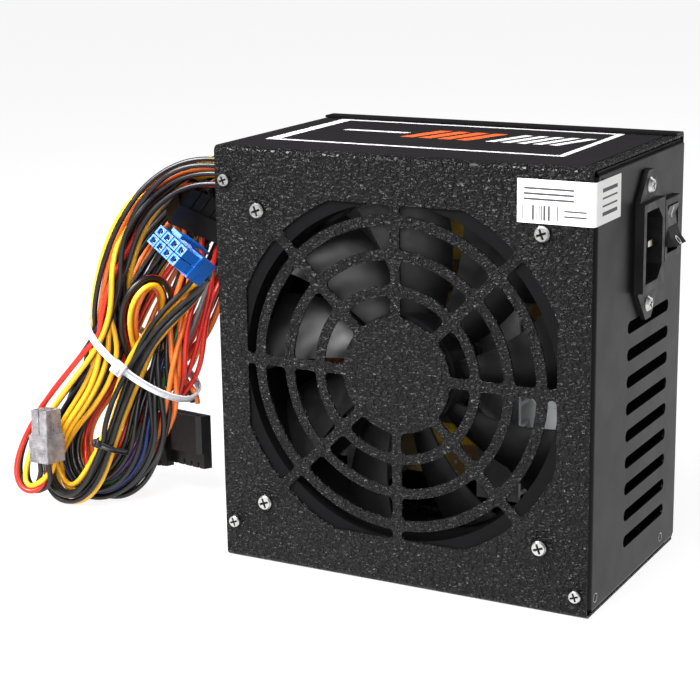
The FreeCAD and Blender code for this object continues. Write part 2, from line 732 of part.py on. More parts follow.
def make_fan_motor():
    """Magnet ring and shaft that turn with the rotor, and the bearing and stator that don't."""
    wall = 1.5
    inner = size("hub_radius") - wall
    ring = cut(
        "fan_magnet_ring",
        fan_rod("magnet_outer", inner, HUB_FRONT + 4.5, HUB_REAR - 1.0),
        [fan_rod("magnet_inner", inner - 1.8, HUB_FRONT + 4.0, HUB_REAR)],
    )
    node(ring, "fan_magnet_ring")
    shaft_end = FAN_REAR - 0.6
    shaft = cut(
        "fan_shaft",
        fan_rod("shaft_blank", "sizes.shaft_radius", HUB_FRONT + wall, shaft_end),
        [clip_ring("shaft_groove", 1.1, 3.0)],
    )
    node(shaft, "fan_shaft")
    node(clip_ring("fan_retaining_clip", 1.1, 2.6), "fan_retaining_clip")
    tube_front = FAN_REAR - 16.5
    bearing = cut(
        "fan_bearing",
        fan_rod("bearing_outer", 3.5, tube_front, FAN_REAR - 3.4),
        [
            fan_rod(
                "bearing_bore",
                "sizes.shaft_radius + sizes.bearing_clearance",
                tube_front - 1,
                FAN_REAR,
            )
        ],
    )
    node(bearing, "fan_bearing")
    core = [fan_rod("stator_ring", 7.6, tube_front + 0.8, tube_front + 8.8)]
    coils = []
    middle = tube_front + 4.8
    for k in range(4):
        turn = Rotation(Y_AXIS, 90 * k)
        arm = centred_box(f"stator_arm_{k}", (10.5, 8.0, 3.6), (0, 0, 0))
        arm.Placement = Placement(Vector(0, middle, FAN_Z), turn) * arm.Placement
        arm.Placement = arm.Placement * Placement(Vector(9.5, 0, 0), Rotation())
        shoe = centred_box(f"stator_shoe_{k}", (1.8, 8.0, 12.0), (0, 0, 0))
        shoe.Placement = Placement(Vector(0, middle, FAN_Z), turn) * shoe.Placement
        shoe.Placement = shoe.Placement * Placement(Vector(15.0, 0, 0), Rotation())
        coil = centred_box(f"stator_coil_{k}", (5.2, 10.6, 8.4), (0, 0, 0))
        coil.Placement = Placement(Vector(0, middle, FAN_Z), turn) * coil.Placement
        coil.Placement = coil.Placement * Placement(Vector(11.0, 0, 0), Rotation())
        core += [arm, shoe]
        coils.append(coil)
    bore = fan_rod("stator_bore", 5.0, tube_front, FAN_REAR)
    stator = cut("fan_stator", fused("stator_blank", core + coils), [bore])
    node(stator, "fan_stator")
    board = cut(
        "fan_circuit_board",
        fan_rod("fan_board_disc", 15.5, HUB_REAR + 0.4, HUB_REAR + 1.6),
        [fan_rod("fan_board_hole", 5.0, HUB_REAR, HUB_REAR + 2)],
    )
    node(board, "fan_circuit_board")
    screws = [
        screw(f"fan_screw_{k}", (x, -HALF_DEPTH, z), (0, -1, 0), (3.1, 1.4), (1.9, 9.5))
        for k, (x, z) in enumerate(FAN_SCREWS)
    ]
    node(group("fan_screws", screws), "fan_screws")


def clip_ring(name, inner, outer):
    """Thin ring in the shaft's groove, behind the bearing."""
    start = FAN_REAR - 2.4
    ring = fan_rod(name + "_disc", outer, start, start + 0.6)
    return cut(name, ring, [fan_rod(name + "_bore", inner, start - 1, start + 2)])


# ---------------------------------------------------------------------------------------
# Mains inlet and switch
# ---------------------------------------------------------------------------------------

INLET = (size("inlet_depth"), size("inlet_height"))
SWITCH = (size("switch_depth"), size("switch_height"))
ROCKER_PIVOT = HALF_WIDTH - 2.0
PIN_SPACING = 7.0


def make_mains_inlet():
    """Three-pin appliance inlet with two pointed ears, standing on end in the mains panel."""
    owner = body("mains_inlet_body")
    y, z = INLET
    half = size("inlet_ear_span") / 2
    ears = sketch(owner, "YZ_Plane", "inlet_ears", HALF_WIDTH)
    shoulder = size("inlet_frame_width") / 2
    tip = 2.6
    height = size("inlet_frame_height") / 2
    side = [(-shoulder, -height), (shoulder, -height)]
    polygon(
        ears,
        [
            (y + side[0][0], z - height - 0.8),
            (y - tip, z - half),
            (y + tip, z - half),
            (y + side[1][0], z - height - 0.8),
            (y + shoulder, z + height + 0.8),
            (y + tip, z + half),
            (y - tip, z + half),
            (y - shoulder, z + height + 0.8),
        ],
    )
    pad(owner, ears, 1.6)
    frame = sketch(owner, "YZ_Plane", "inlet_frame", HALF_WIDTH)
    rectangle(frame, INLET, "sizes.inlet_frame_width", "sizes.inlet_frame_height", "frame")
    pad(owner, frame, 3.2)
    shroud = sketch(owner, "YZ_Plane", "inlet_shroud", HALF_WIDTH)
    rectangle(
        shroud,
        INLET,
        "sizes.inlet_frame_width - 1.4",
        "sizes.inlet_frame_height - 2.1",
        "shroud",
    )
    pad(owner, shroud, 20.0, reverse=True)
    socket = sketch(owner, "YZ_Plane", "inlet_socket", HALF_WIDTH + 4)
    w = size("inlet_opening_width") / 2
    h = size("inlet_opening_height") / 2
    chamfer = 4.2
    polygon(
        socket,
        [
            (y - w, z - h),
            (y + w - chamfer, z - h),
            (y + w, z - h + chamfer),
            (y + w, z + h - chamfer),
            (y + w - chamfer, z + h),
            (y - w, z + h),
        ],
    )
    pocket(owner, socket, 21.0)
    doc.recompute()
    holes = sketch(owner, "YZ_Plane", "inlet_screw_holes", HALF_WIDTH + 4)
    for k, way in enumerate((-1, 1)):
        place = (y, z + way * size("inlet_screw_pitch") / 2)
        circle(holes, place, "1.7", f"ear_hole_{k}")
    pocket(owner, holes, 6.0)
    slots = sketch(owner, "YZ_Plane", "inlet_pin_slots", HALF_WIDTH - 22)
    for k, (pin_y, pin_z) in enumerate(inlet_pin_places()):
        rectangle(slots, (pin_y, pin_z), "4.0", "2.0", f"pin_{k}")
    pocket(owner, slots, 8.0, reverse=True)
    node(owner, "mains_inlet_body")


def inlet_pin_places():
    """Earth in the middle, set towards the chamfered side, and the two lines either side."""
    y, z = INLET
    return [(y + 2.0, z), (y - 2.0, z - PIN_SPACING), (y - 2.0, z + PIN_SPACING)]


def make_mains_inlet_metal():
    """Contact pins with their solder tabs, and the two screws through the ears."""
    pins = []
    for k, (y, z) in enumerate(inlet_pin_places()):
        front = HALF_WIDTH + (1.0 if k == 0 else -1.0)
        rear = HALF_WIDTH - 20.0
        blade = box(f"inlet_blade_{k}", (front - rear, 4.0, 2.0), (rear, y - 2.0, z - 1.0))
        tab = box(f"inlet_tab_{k}", (7.0, 4.0, 0.8), (rear - 7.0, y - 2.0, z - 0.4))
        pins.append(fused(f"inlet_pin_{k}", [blade, tab]))
    node(group("mains_inlet_pins", pins), "mains_inlet_pins")
    y, z = INLET
    reach = size("inlet_screw_pitch") / 2
    screws = [
        screw(
            f"inlet_screw_{k}",
            (HALF_WIDTH + 1.6, y, z + way * reach),
            (1, 0, 0),
            (2.8, 1.0),
            (1.5, 6.0),
        )
        for k, way in enumerate((-1, 1))
    ]
    node(group("mains_inlet_screws", screws), "mains_inlet_screws")


def make_switch():
    """Rocker switch: snap-in body with a bezel, and two blade terminals."""
    owner = body("switch_body")
    y, z = SWITCH
    bezel = sketch(owner, "YZ_Plane", "switch_bezel", HALF_WIDTH)
    rectangle(bezel, SWITCH, "sizes.switch_bezel_width", "sizes.switch_bezel_height", "bezel")
    pad(owner, bezel, 1.8)
    case = sketch(owner, "YZ_Plane", "switch_case", HALF_WIDTH)
    rectangle(
        case, SWITCH, "sizes.switch_bezel_width - 2.2", "sizes.switch_bezel_height - 2.2", "case"
    )
    pad(owner, case, 17.0, reverse=True)
    well = sketch(owner, "YZ_Plane", "switch_well", HALF_WIDTH + 3)
    rectangle(
        well, SWITCH, "sizes.switch_bezel_width - 4.4", "sizes.switch_bezel_height - 4.4", "well"
    )
    pocket(owner, well, 15.5)
    doc.recompute()
    pivot = sketch(owner, "XZ_Plane", "switch_pivots", -y)
    circle(pivot, (ROCKER_PIVOT, z), "0.96", "pivot")
    node(owner, "switch_body")
    pivot_pins = pocket(owner, pivot, "sizes.switch_bezel_width - 2.6", midplane=True)
    pivot_pins.Label = "switch_pivot_holes"
    terminals = [
        box(f"switch_tab_{k}", (9.0, 4.8, 0.8), (HALF_WIDTH - 26.0, y - 2.4, z + level - 0.4))
        for k, level in enumerate((-5.0, 5.0))
    ]
    node(group("switch_terminals", terminals), "switch_terminals")


def make_rocker():
    """Rocker with a shallow V face, shown with its upper end pressed in."""
    owner = body("switch_rocker")
    y, z = SWITCH
    half = (size("switch_bezel_height") - 4.4) / 2 - 0.6
    width = size("switch_bezel_width") - 4.4 - 0.6
    profile = sketch(owner, "XZ_Plane", "rocker_side", -y)
    tilt = size("rocker_throw") / 2
    face = 4.2
    turn = Rotation(Z_AXIS, tilt)
    shape = [
        (face + 1.6, half * 0.9),
        (face, half * 0.5),
        (face - 0.5, 0),
        (face, -half * 0.5),
        (face + 1.6, -half * 0.9),
        (-0.8, -half * 0.9),
        (-4.6, -2.6),
        (-4.6, 2.6),
        (-0.8, half * 0.9),
    ]
    turned = [turn.multVec(Vector(a, b, 0)) for a, b in shape]
    polygon(profile, [(ROCKER_PIVOT + p.x, z + p.y) for p in turned])
    pad(owner, profile, width, midplane=True)
    pins = sketch(owner, "XZ_Plane", "rocker_pins", -y)
    circle(pins, (ROCKER_PIVOT, z), "0.9", "pin")
    pad(owner, pins, "sizes.switch_bezel_width - 2.8", midplane=True)
    node(owner, "switch_rocker")


# ---------------------------------------------------------------------------------------
# Circuit board and what stands on it
# ---------------------------------------------------------------------------------------

BOARD = size("board_face")
BOARD_BACK = BOARD + size("board_thickness")
BOARD_LEFT = size("board_left")
BOARD_BOTTOM = size("board_bottom")
BOARD_RIGHT = BOARD_LEFT + size("board_width")
BOARD_TOP = BOARD_BOTTOM + size("board_height")
BOARD_SCREWS = [
    (x, z)
    for x in (BOARD_LEFT + 4, BOARD_RIGHT - 4)
    for z in (BOARD_BOTTOM + 4, BOARD_TOP - 4)
]
PRIMARY_SINK_X = 14.0
SECONDARY_SINK_X = -25.0
SINK_BOTTOM = 24.0


def on_board(name, width, height, rise, x, z):
    """Block that stands on the board, centred at x and z, rise tall towards the fan."""
    return box(name, (width, rise, height), (x - width / 2, BOARD - rise, z - height / 2))


def upright(name, radius, rise, x, z, gap=0.0):
    """Round part that stands on the board."""
    return rod(name, radius, rise, (x, BOARD - gap, z), Vector(0, -1, 0))


def make_board():
    """Main board with its standoffs, screws and the insulating sheet behind it."""
    holes = [
        rod(f"board_hole_{k}", 1.8, 6, (x, BOARD - 2, z), Y_AXIS)
        for k, (x, z) in enumerate(BOARD_SCREWS)
    ]
    blank = box(
        "board_blank",
        ("sizes.board_width", "sizes.board_thickness", "sizes.board_height"),
        (BOARD_LEFT, BOARD, BOARD_BOTTOM),
    )
    node(cut("main_board", blank, holes), "main_board")
    posts = []
    for k, (x, z) in enumerate(BOARD_SCREWS):
        post = rod(f"standoff_post_{k}", 3.0, BACK_FACE - BOARD_BACK, (x, BOARD_BACK, z), Y_AXIS)
        bore = rod(f"standoff_bore_{k}", 1.5, 6, (x, BOARD_BACK - 0.5, z), Y_AXIS)
        posts.append(cut(f"standoff_{k}", post, [bore]))
    node(group("board_standoffs", posts), "board_standoffs")
    screws = [
        screw(f"board_screw_{k}", (x, BOARD, z), (0, -1, 0), (2.9, 1.8), (1.5, 6.0))
        for k, (x, z) in enumerate(BOARD_SCREWS)
    ]
    node(group("board_screws", screws), "board_screws")
    sheet = box("insulation_blank", (104.0, 0.3, 114.0), (BOARD_LEFT + 2, 39.6, 18.0))
    clear = [
        rod(f"insulation_hole_{k}", 3.4, 4, (x, 38.5, z), Y_AXIS)
        for k, (x, z) in enumerate(BOARD_SCREWS)
    ]
    node(cut("insulation_sheet", sheet, clear), "insulation_sheet")


def heatsink(name, x, fin_side):
    """Upright plate with a row of fins along its top edge, folded to one side."""
    rise = size("heatsink_height")
    top = BOARD - rise
    plate = box(
        name + "_plate", (3.0, rise - 2.0, "sizes.heatsink_length"), (x, top, SINK_BOTTOM)
    )
    reach = 13.0
    start = x + 3.0 if fin_side > 0 else x - reach
    roof = box(name + "_roof", (reach, 2.0, "sizes.heatsink_length"), (start, top, SINK_BOTTOM))
    fins = []
    count = 13
    for k in range(count):
        z = SINK_BOTTOM + 2 + k * (size("heatsink_length") - 6) / (count - 1)
        fins.append(box(f"{name}_fin_{k}", (reach, 7.0, 1.6), (start, top + 2.0, z)))
    return fused(name, [plate, roof, *fins])


def power_device(name, x, z, face):
    """Three-legged power device screwed flat against a heatsink."""
    thickness = 4.6
    side = x + 3.0 if face > 0 else x - thickness
    shell = box(name + "_case", (thickness, 15.0, 10.0), (side, BOARD - 24.0, z - 5.0))
    legs = [
        box(f"{name}_leg_{k}", (0.8, 9.0, 0.8), (side + 1.9, BOARD - 9.0, z - 2.94 + 2.54 * k))
        for k in range(3)
    ]
    return fused(name, [shell, *legs])


def make_heatsinks():
    """Two finned heatsinks and the devices fastened to them."""
    node(heatsink("primary_heatsink", PRIMARY_SINK_X, 1), "primary_heatsink")
    node(heatsink("secondary_heatsink", SECONDARY_SINK_X, -1), "secondary_heatsink")
    transistors = [
        power_device(f"transistor_{k}", PRIMARY_SINK_X, z, 1) for k, z in enumerate((44.0, 76.0))
    ]
    node(group("switching_transistors", transistors), "switching_transistors")
    diodes = [
        power_device(f"diode_{k}", SECONDARY_SINK_X, z, -1)
        for k, z in enumerate((40.0, 64.0, 88.0))
    ]
    node(group("rectifier_diodes", diodes), "rectifier_diodes")


def make_main_transformer():
    """Main transformer: a rectangular ferrite core round a taped winding on its bobbin."""
    x, z = -4.0, 52.0
    outer = on_board("core_outer", 33.0, 12.0, 33.0, x, z)
    window = box("core_window", (21.0, 22.0, 14.0), (x - 10.5, BOARD - 28.0, z - 7.0))
    middle = box("core_middle", (7.0, 22.0, 12.0), (x - 3.5, BOARD - 28.0, z - 6.0))
    legs = box("core_middle_gap", (7.4, 24.0, 12.4), (x - 3.7, BOARD - 29.0, z - 6.2))
    core = fused("transformer_core", [cut("core_frame", outer, [window]), middle])
    node(core, "main_transformer_core")
    bobbin = box("winding_bobbin", (20.4, 21.4, 30.0), (x - 10.2, BOARD - 27.7, z - 15.0))
    node(cut("main_transformer_winding", bobbin, [legs]), "main_transformer_winding")


def small_transformer(name, width, x, z):
    """Small transformer: a core with a taped winding bulging through it."""
    core = on_board(name + "_core", width, width * 0.55, width, x, z)
    winding = on_board(name + "_winding", width * 0.7, width * 0.95, width * 0.74, x, z)
    return fused(name, [core, winding])


def capacitor(name, radius, rise, x, z):
    """Can capacitor with a rolled groove near its foot and a scored top."""
    can = upright(name + "_can", radius, rise, x, z, gap=0.6)
    foot = upright(name + "_foot", radius * 0.86, 0.8, x, z)
    groove = cut(
        name + "_groove",
        upright(name + "_groove_outer", radius + 1, 0.9, x, z, gap=2.6),
        [upright(name + "_groove_inner", radius - 0.5, 2.0, x, z, gap=2.0)],
    )
    top = BOARD - 0.6 - rise
    scores = [
        centred_box(f"{name}_score_{k}", lengths, (x, top, z))
        for k, lengths in enumerate(((radius * 1.2, 0.6, 0.5), (0.5, 0.6, radius * 1.2)))
    ]
    return cut(name, fused(name + "_blank", [can, foot]), [groove, *scores])


OUTPUT_CAPACITORS = [
    (5.0, 22.0, -37.5, 112.0),
    (5.0, 22.0, -37.5, 124.0),
    (5.0, 25.0, -50.0, 96.5),
    (5.0, 25.0, -50.0, 30.0),
    (4.0, 16.0, -38.0, 28.0),
    (4.0, 16.0, -38.0, 44.0),
    (4.0, 16.0, -57.0, 88.0),
]


def make_wound_parts():
    """Small transformers, chokes and capacitors."""
    node(small_transformer("standby_transformer", 20.0, -4.0, 112.0), "standby_transformer")
    node(small_transformer("driver_transformer", 16.0, -4.0, 86.0), "driver_transformer")
    bulk = [
        capacitor(f"bulk_capacitor_{k}", 11.0, 33.0, 34.5, z) for k, z in enumerate((32.0, 57.0))
    ]
    node(group("bulk_capacitors", bulk), "bulk_capacitors")
    output = [
        capacitor(f"output_capacitor_{k}", *spec) for k, spec in enumerate(OUTPUT_CAPACITORS)
    ]
    node(group("output_capacitors", output), "output_capacitors")
    node(toroid("output_choke", 13.5, 6.5, 12.0, (-48.0, BOARD - 15.0, 66.0), 22), "output_choke")
    node(toroid("mains_choke", 9.5, 5.0, 9.0, (35.2, BOARD - 11.0, 98.0), 14), "mains_choke")


def toroid(name, outer, inner, thickness, centre, turns):
    """Wound ring core standing on edge, its axis along Z."""
    middle = (outer + inner) / 2
    half = (outer - inner) / 2
    ring_start = (centre[0], centre[1], centre[2] - thickness / 2)
    core = cut(
        name + "_core",
        rod(name + "_core_outer", outer, thickness, ring_start),
        [rod(name + "_core_inner", inner, thickness + 2, (centre[0], centre[1], ring_start[2] - 1))],
    )
    loops = []
    for k in range(turns):
        angle = 360 * (k + 0.5) / turns
        loop = centred_box(
            f"{name}_turn_{k}", (2 * half + 2.6, 1.3, thickness + 2.6), (0, 0, 0)
        )
        place = Placement(Vector(*centre), Rotation(Z_AXIS, angle))
        loop.Placement = place * Placement(Vector(middle, 0, 0), Rotation()) * loop.Placement
        loops.append(loop)
    return fused(name, [core, *loops])


def make_small_parts():
    """Mains filter, fuse, thermistor, rectifier and the upright control board."""
    film = on_board("x_capacitor", 8.0, 18.0, 14.0, 30.0, 120.0)
    discs = [
        rod(f"y_disc_{k}", 4.5, 3.0, (x, BOARD - 6.5, 78.5)) for k, x in enumerate((27.0, 40.0))
    ]
    legs = [
        box(f"y_leg_{k}", (0.8, 4.0, 0.8), (x - 0.4, BOARD - 4.0, 79.6))
        for k, x in enumerate((27.0, 40.0))
    ]
    y_caps = [fused(f"y_capacitor_{k}", [d, leg]) for k, (d, leg) in enumerate(zip(discs, legs))]
    node(group("filter_capacitors", [film, *y_caps]), "filter_capacitors")
    glass = rod("fuse_glass", 2.6, 14.0, (40.5, BOARD - 4.0, 108.0))
    caps = [
        rod(f"fuse_cap_{k}", 2.9, 4.0, (40.5, BOARD - 4.0, z)) for k, z in enumerate((105.0, 121.0))
    ]
    clips = [
        box(f"fuse_clip_{k}", (3.0, 4.0, 2.0), (39.0, BOARD - 4.0, z))
        for k, z in enumerate((106.0, 122.0))
    ]
    node(fused("fuse", [glass, *caps, *clips]), "fuse")
    disc = rod("thermistor_disc", 6.0, 4.0, (40.0, BOARD - 10.0, 84.5))
    leg = box("thermistor_leg", (4.0, 6.0, 0.8), (38.0, BOARD - 6.0, 86.0))
    node(fused("thermistor", [disc, leg]), "thermistor")
    bridge = on_board("bridge_case", 5.0, 18.0, 16.0, 21.0, 98.0)
    node(bridge, "bridge_rectifier")
    card = on_board("control_card", 1.4, 34.0, 26.0, -52.0, 120.0)
    chip = box("control_chip", (1.8, 9.0, 18.0), (-53.4 - 1.1, BOARD - 19.0, 110.0))
    node(fused("control_board", [card, chip]), "control_board")


# ---------------------------------------------------------------------------------------
# Wires, cables and connectors
# ---------------------------------------------------------------------------------------

BEND_SHARE = 0.45


def rounded_path(points):
    """Straight runs joined by tangent arcs, as a wire, with the radius of each arc."""
    corners = [Vector(*p) for p in points]
    runs = [(b - a).Length for a, b in zip(corners, corners[1:])]
    edges = []
    radii = []
    start = corners[0]
    for k in range(1, len(corners) - 1):
        before = (corners[k] - corners[k - 1]).normalize()
        after = (corners[k + 1] - corners[k]).normalize()
        turn = before.getAngle(after)
        setback = BEND_SHARE * min(runs[k - 1], runs[k])
        radius = setback / math.tan(turn / 2)
        first = corners[k] - before * setback
        last = corners[k] + after * setback
        to_centre = (after - before).normalize()
        centre = corners[k] + to_centre * (radius / math.cos(turn / 2))
        middle = centre - to_centre * radius
        edges.append(Part.LineSegment(start, first).toShape())
        edges.append(Part.Arc(first, middle, last).toShape())
        radii.append(radius)
        start = last
    edges.append(Part.LineSegment(start, corners[-1]).toShape())
    return Part.Wire(edges), radii


def tube(name, points, diameter):
    """Round cable along a route of hand-placed points."""
    path, radii = rounded_path(points)
    way = Vector(*points[1]) - Vector(*points[0])
    ring = Part.Wire([Part.makeCircle(diameter / 2, Vector(*points[0]), way)])
    shape = path.makePipeShell([ring], True, False)
    item = doc.addObject("Part::Feature", name)
    item.Shape = shape
    expected = math.pi * diameter * diameter / 4 * path.Length
    print(
        f"{name}: length {path.Length:.0f}, smallest radius {min(radii, default=0):.1f},",
        f"volume {shape.Volume / expected:.4f} of section x length,",
        f"lowest {shape.BoundBox.ZMin:.1f}",
        "radii",
        [round(r) for r in radii],
    )
    return item


MAIN_ROUTE = [
    (-62, 10.5, 122.2), (-83, 17, 127), (-106, 22.5, 125), (-122, 20, 112), (-133, 14, 97),
    (-139, 7, 81), (-143, 0, 67), (-152, -3, 50), (-164, -5, 35), (-167, -8, 20),
    (-157, -10, 8), (-143, -9, 8), (-132, -6, 18), (-125, -3, 36), (-119.5, 1.5, 54),
    (-115, 8, 74), (-111, 15.8, 93.1),
]  # fmt: skip
PROCESSOR_ROUTE = [
    (-62, 8.5, 134.8), (-83, 8, 134.8), (-105, 4, 134), (-120, 0, 125), (-131, -4, 111),
    (-137, -7, 95), (-138, -10, 78), (-140, -13, 60), (-149, -16, 44), (-161, -18, 31),
    (-167, -20, 18), (-161, -23, 7), (-148, -25, 6), (-139, -24, 16), (-134, -18, 34),
    (-131, -10, 54), (-123, -8, 69), (-114, -3, 79), (-106, 2, 86), (-101.5, -2, 94),
    (-101.5, -9.6, 98.5),
]  # fmt: skip
PERIPHERAL_ROUTE = [
    (-62, 1.5, 125.5), (-82, -1, 129), (-103, -3, 131), (-118, -7, 123), (-128, -12, 110),
    (-132, -15, 94), (-136, -17, 78), (-142.5, -16.5, 65), (-152, -20, 53), (-162, -21, 42),
    (-170, -24, 29), (-172.6, -30, 18), (-172.6, -32.5, 9.5), (-168.6, -33.5, 5.2),
    (-163, -33.5, 5.2), (-159, -32.5, 9.2), (-158.5, -31.2, 14.5), (-158.5, -31, 19),
]  # fmt: skip
SATA_ROUTE = [
    (-62, 2, 131.5), (-83, 1.6, 132.8), (-104, -4, 136), (-119, -8, 128), (-130, -12, 115),
    (-137, -14, 99), (-141, -15, 83), (-145, -13, 68), (-146, -10, 54), (-147, -4, 44),
    (-148, 5, 42), (-148.2, 13.5, 37.5), (-148.3, 16.1, 28.8),
]  # fmt: skip
LINK_ROUTE = [
    (-138.7, 13.9, 30.2), (-140, 8, 41), (-135, -2, 55), (-132, -11, 69), (-129, -16, 81),
    (-124, -12, 91), (-121, -2, 91), (-123, 5, 79), (-128, 8, 63), (-126, 11, 48),
    (-121.5, 11.5, 37),
]  # fmt: skip
FAN_LEAD_ROUTE = [
    (-12, -17.2, 63), (-12.6, -13.8, 62), (-16, -12.6, 58), (-25, -12.8, 51),
    (-38, -12.8, 43.5), (-50, -10, 38), (-56, -1, 37), (-57, 12, 40), (-56, 22, 46), (-54, 27.4, 52),
]  # fmt: skip


def make_cables():
    """Output cables: routes are placed by hand from the outlet to each connector."""
    specs = (
        ("main_cable", MAIN_ROUTE, "main_cable_diameter"),
        ("processor_cable", PROCESSOR_ROUTE, "processor_cable_diameter"),
        ("peripheral_cable", PERIPHERAL_ROUTE, "small_cable_diameter"),
        ("sata_cable", SATA_ROUTE, "small_cable_diameter"),
        ("link_cable", LINK_ROUTE, "small_cable_diameter"),
    )
    for name, route, diameter in specs:
        node(tube(name, route, size(diameter)), name)


def make_main_spread():
    """Flat stretch where the main cable's wires part on their way into the wide connector."""
    owner = body("main_cable_spread")
    outline = sketch(owner, "XZ_Plane", "spread_outline")
    near = size("main_cable_diameter") / 2
    polygon(outline, [(-near, -12.0), (near, -12.0), (25.0, 0), (-25.0, 0)])
    pad(owner, outline, 8.6, midplane=True)
    owner.Placement = MAIN_FRAME
    node(owner, "main_cable_spread")


def make_grommet():
    """Split bushing that lines the cable opening."""
    y, z = size("outlet_depth"), size("outlet_height")
    wall = -HALF_WIDTH
    parts = [
        rod("grommet_outside", 16.0, 2.2, (wall - 2.2, y, z), X_AXIS),
        rod("grommet_neck", 13.6, THICKNESS, (wall, y, z), X_AXIS),
        rod("grommet_inside", 15.2, 2.0, (wall + THICKNESS, y, z), X_AXIS),
    ]
    bore = rod("grommet_bore", "sizes.outlet_radius", 12.0, (wall - 5, y, z), X_AXIS)
    node(cut("cable_grommet", fused("grommet_blank", parts), [bore]), "cable_grommet")


def crimp_connector(name, columns, rows, length, place):
    """Crimp housing: a block where the wires enter, and one square socket post for each pin."""
    owner = body(name)
    pitch = size("pin_pitch")
    width = columns * pitch + 1.2
    height = rows * pitch + 1.2
    block = length * 0.52
    base = sketch(owner, "XY_Plane", name + "_base")
    rectangle(base, (0, 0), str(width), str(height), "base")
    pad(owner, base, block)
    post = pitch - 0.45
    posts = sketch(owner, "XY_Plane", name + "_posts", block - 1.0)
    holes = sketch(owner, "XY_Plane", name + "_sockets", length)
    entries = sketch(owner, "XY_Plane", name + "_entries")
    for column in range(columns):
        for row in range(rows):
            x = (column - (columns - 1) / 2) * pitch
            y = (row - (rows - 1) / 2) * pitch
            key = f"{column}_{row}"
            p = post / 2
            polygon(posts, [(x - p, y - p), (x + p, y - p), (x + p, y + p), (x - p, y + p)])
            h = 1.15
            polygon(holes, [(x - h, y - h), (x + h, y - h), (x + h, y + h), (x - h, y + h)])
            circle(entries, (x, y), "1.05", "entry_" + key)
    doc.recompute()
    pad(owner, posts, length - block + 1.0)
    pocket(owner, holes, length * 0.55)
    pocket(owner, entries, 4.0, reverse=True)
    owner.Placement = place
    node(owner, name)
    return height


def latch(name, width, length, height, shift, place):
    """Thumb lever on the housing's broad side, on a bridge near its middle."""
    owner = body(name)
    side = sketch(owner, "YZ_Plane", name + "_side")
    base = height / 2 + LATCH_GAP
    polygon(
        side,
        [
            (base + 1.0, 0.5),
            (base + 2.1, 0.5),
            (base + 2.1, length * 0.5),
            (base + 1.5, length - 2.6),
            (base + 1.5, length + 0.4),
            (base + 0.1, length + 0.4),
            (base + 0.1, length - 1.6),
            (base + 0.5, length - 2.4),
            (base + 0.5, length * 0.5 + 1.2),
            (base, length * 0.5 + 1.2),
            (base, length * 0.5 - 1.2),
            (base + 1.0, length * 0.5 - 1.2),
        ],
    )
    pad(owner, side, width, midplane=True)
    owner.Placement = place * Placement(Vector(shift, 0, 0), Rotation())
    node(owner, name)


LATCH_GAP = 0.12
MAIN_CONNECTOR_LENGTH = 17.0
PROCESSOR_CONNECTOR_LENGTH = 19.6
MAIN_AXIS = (0.62, 0.02, 0.78)
MAIN_SIDE = (0.55, 0.70, -0.45)
PROCESSOR_AXIS = (0.0, -0.86, 0.51)
PROCESSOR_SIDE = (0.857, -0.26, -0.44)
MAIN_FRAME = frame_of((-103.5, 16.0, 102.5), MAIN_SIDE, MAIN_AXIS)
PROCESSOR_FRAME = frame_of((-101.5, -9.6, 98.5), PROCESSOR_SIDE, PROCESSOR_AXIS)
SMALL_FRAME = frame_of((-158.5, -31.0, 19.5), (0.95, -0.1, 0.05), (-0.05, 0.1, 0.99))
SATA_FRAME = frame_of((-143.5, 15.0, 28.5), (0.93, -0.25, -0.25), (0.12, -0.12, -0.96))
LINK_FRAME = frame_of((-120.6, 11.0, 32.5), (0.93, -0.37, 0.0), (0.06, -0.1, -0.99))


def sata_connector(name, place):
    """Flat drive-power connector: wide blade slot at the front, wire entries at the back."""
    owner = body(name)
    base = sketch(owner, "XY_Plane", name + "_outline")
    polygon(base, [(-11, -3.2), (11, -3.2), (11, 1.4), (9.6, 3.2), (-9.6, 3.2), (-11, 1.4)])
    pad(owner, base, 15.0)
    nose = sketch(owner, "XY_Plane", name + "_nose", 14.5)
    polygon(nose, [(-11, -3.2), (11, -3.2), (11, 0.6), (-11, 0.6)])
    pad(owner, nose, 6.5)
    slot = sketch(owner, "XY_Plane", name + "_slot", 21.0)
    polygon(slot, [(-9.6, -2.2), (9.6, -2.2), (9.6, -0.6), (-9.6, -0.6)])
    pocket(owner, slot, 8.0)
    gaps = sketch(owner, "XY_Plane", name + "_gaps", 21.0)
    for k in range(4):
        x = -7.2 + 4.8 * k
        polygon(gaps, [(x - 0.6, -3.3), (x + 0.6, -3.3), (x + 0.6, 0.7), (x - 0.6, 0.7)])
    pocket(owner, gaps, 2.2)
    entries = sketch(owner, "XY_Plane", name + "_entries")
    for k in range(5):
        circle(entries, ((k - 2) * 3.6, 0.0), "1.0", f"entry_{k}")
    pocket(owner, entries, 4.0, reverse=True)
    owner.Placement = place
    node(owner, name)


def make_connectors():
    """Connectors on the cables' ends, and the latch levers of the two large ones."""
    main_height = crimp_connector("main_connector", 12, 2, MAIN_CONNECTOR_LENGTH, MAIN_FRAME)
    latch("main_connector_latch", 7.0, MAIN_CONNECTOR_LENGTH, main_height, -15.0, MAIN_FRAME)
    height = crimp_connector(
        "processor_connector", 4, 2, PROCESSOR_CONNECTOR_LENGTH, PROCESSOR_FRAME
    )
    latch(
        "processor_connector_latch",
        5.4,
        PROCESSOR_CONNECTOR_LENGTH,
        height,
        0.0,
        PROCESSOR_FRAME,
    )
    crimp_connector("peripheral_connector", 2, 2, 20.5, SMALL_FRAME)
    sata_connector("sata_connector", SATA_FRAME)
    sata_connector("link_connector", LINK_FRAME)


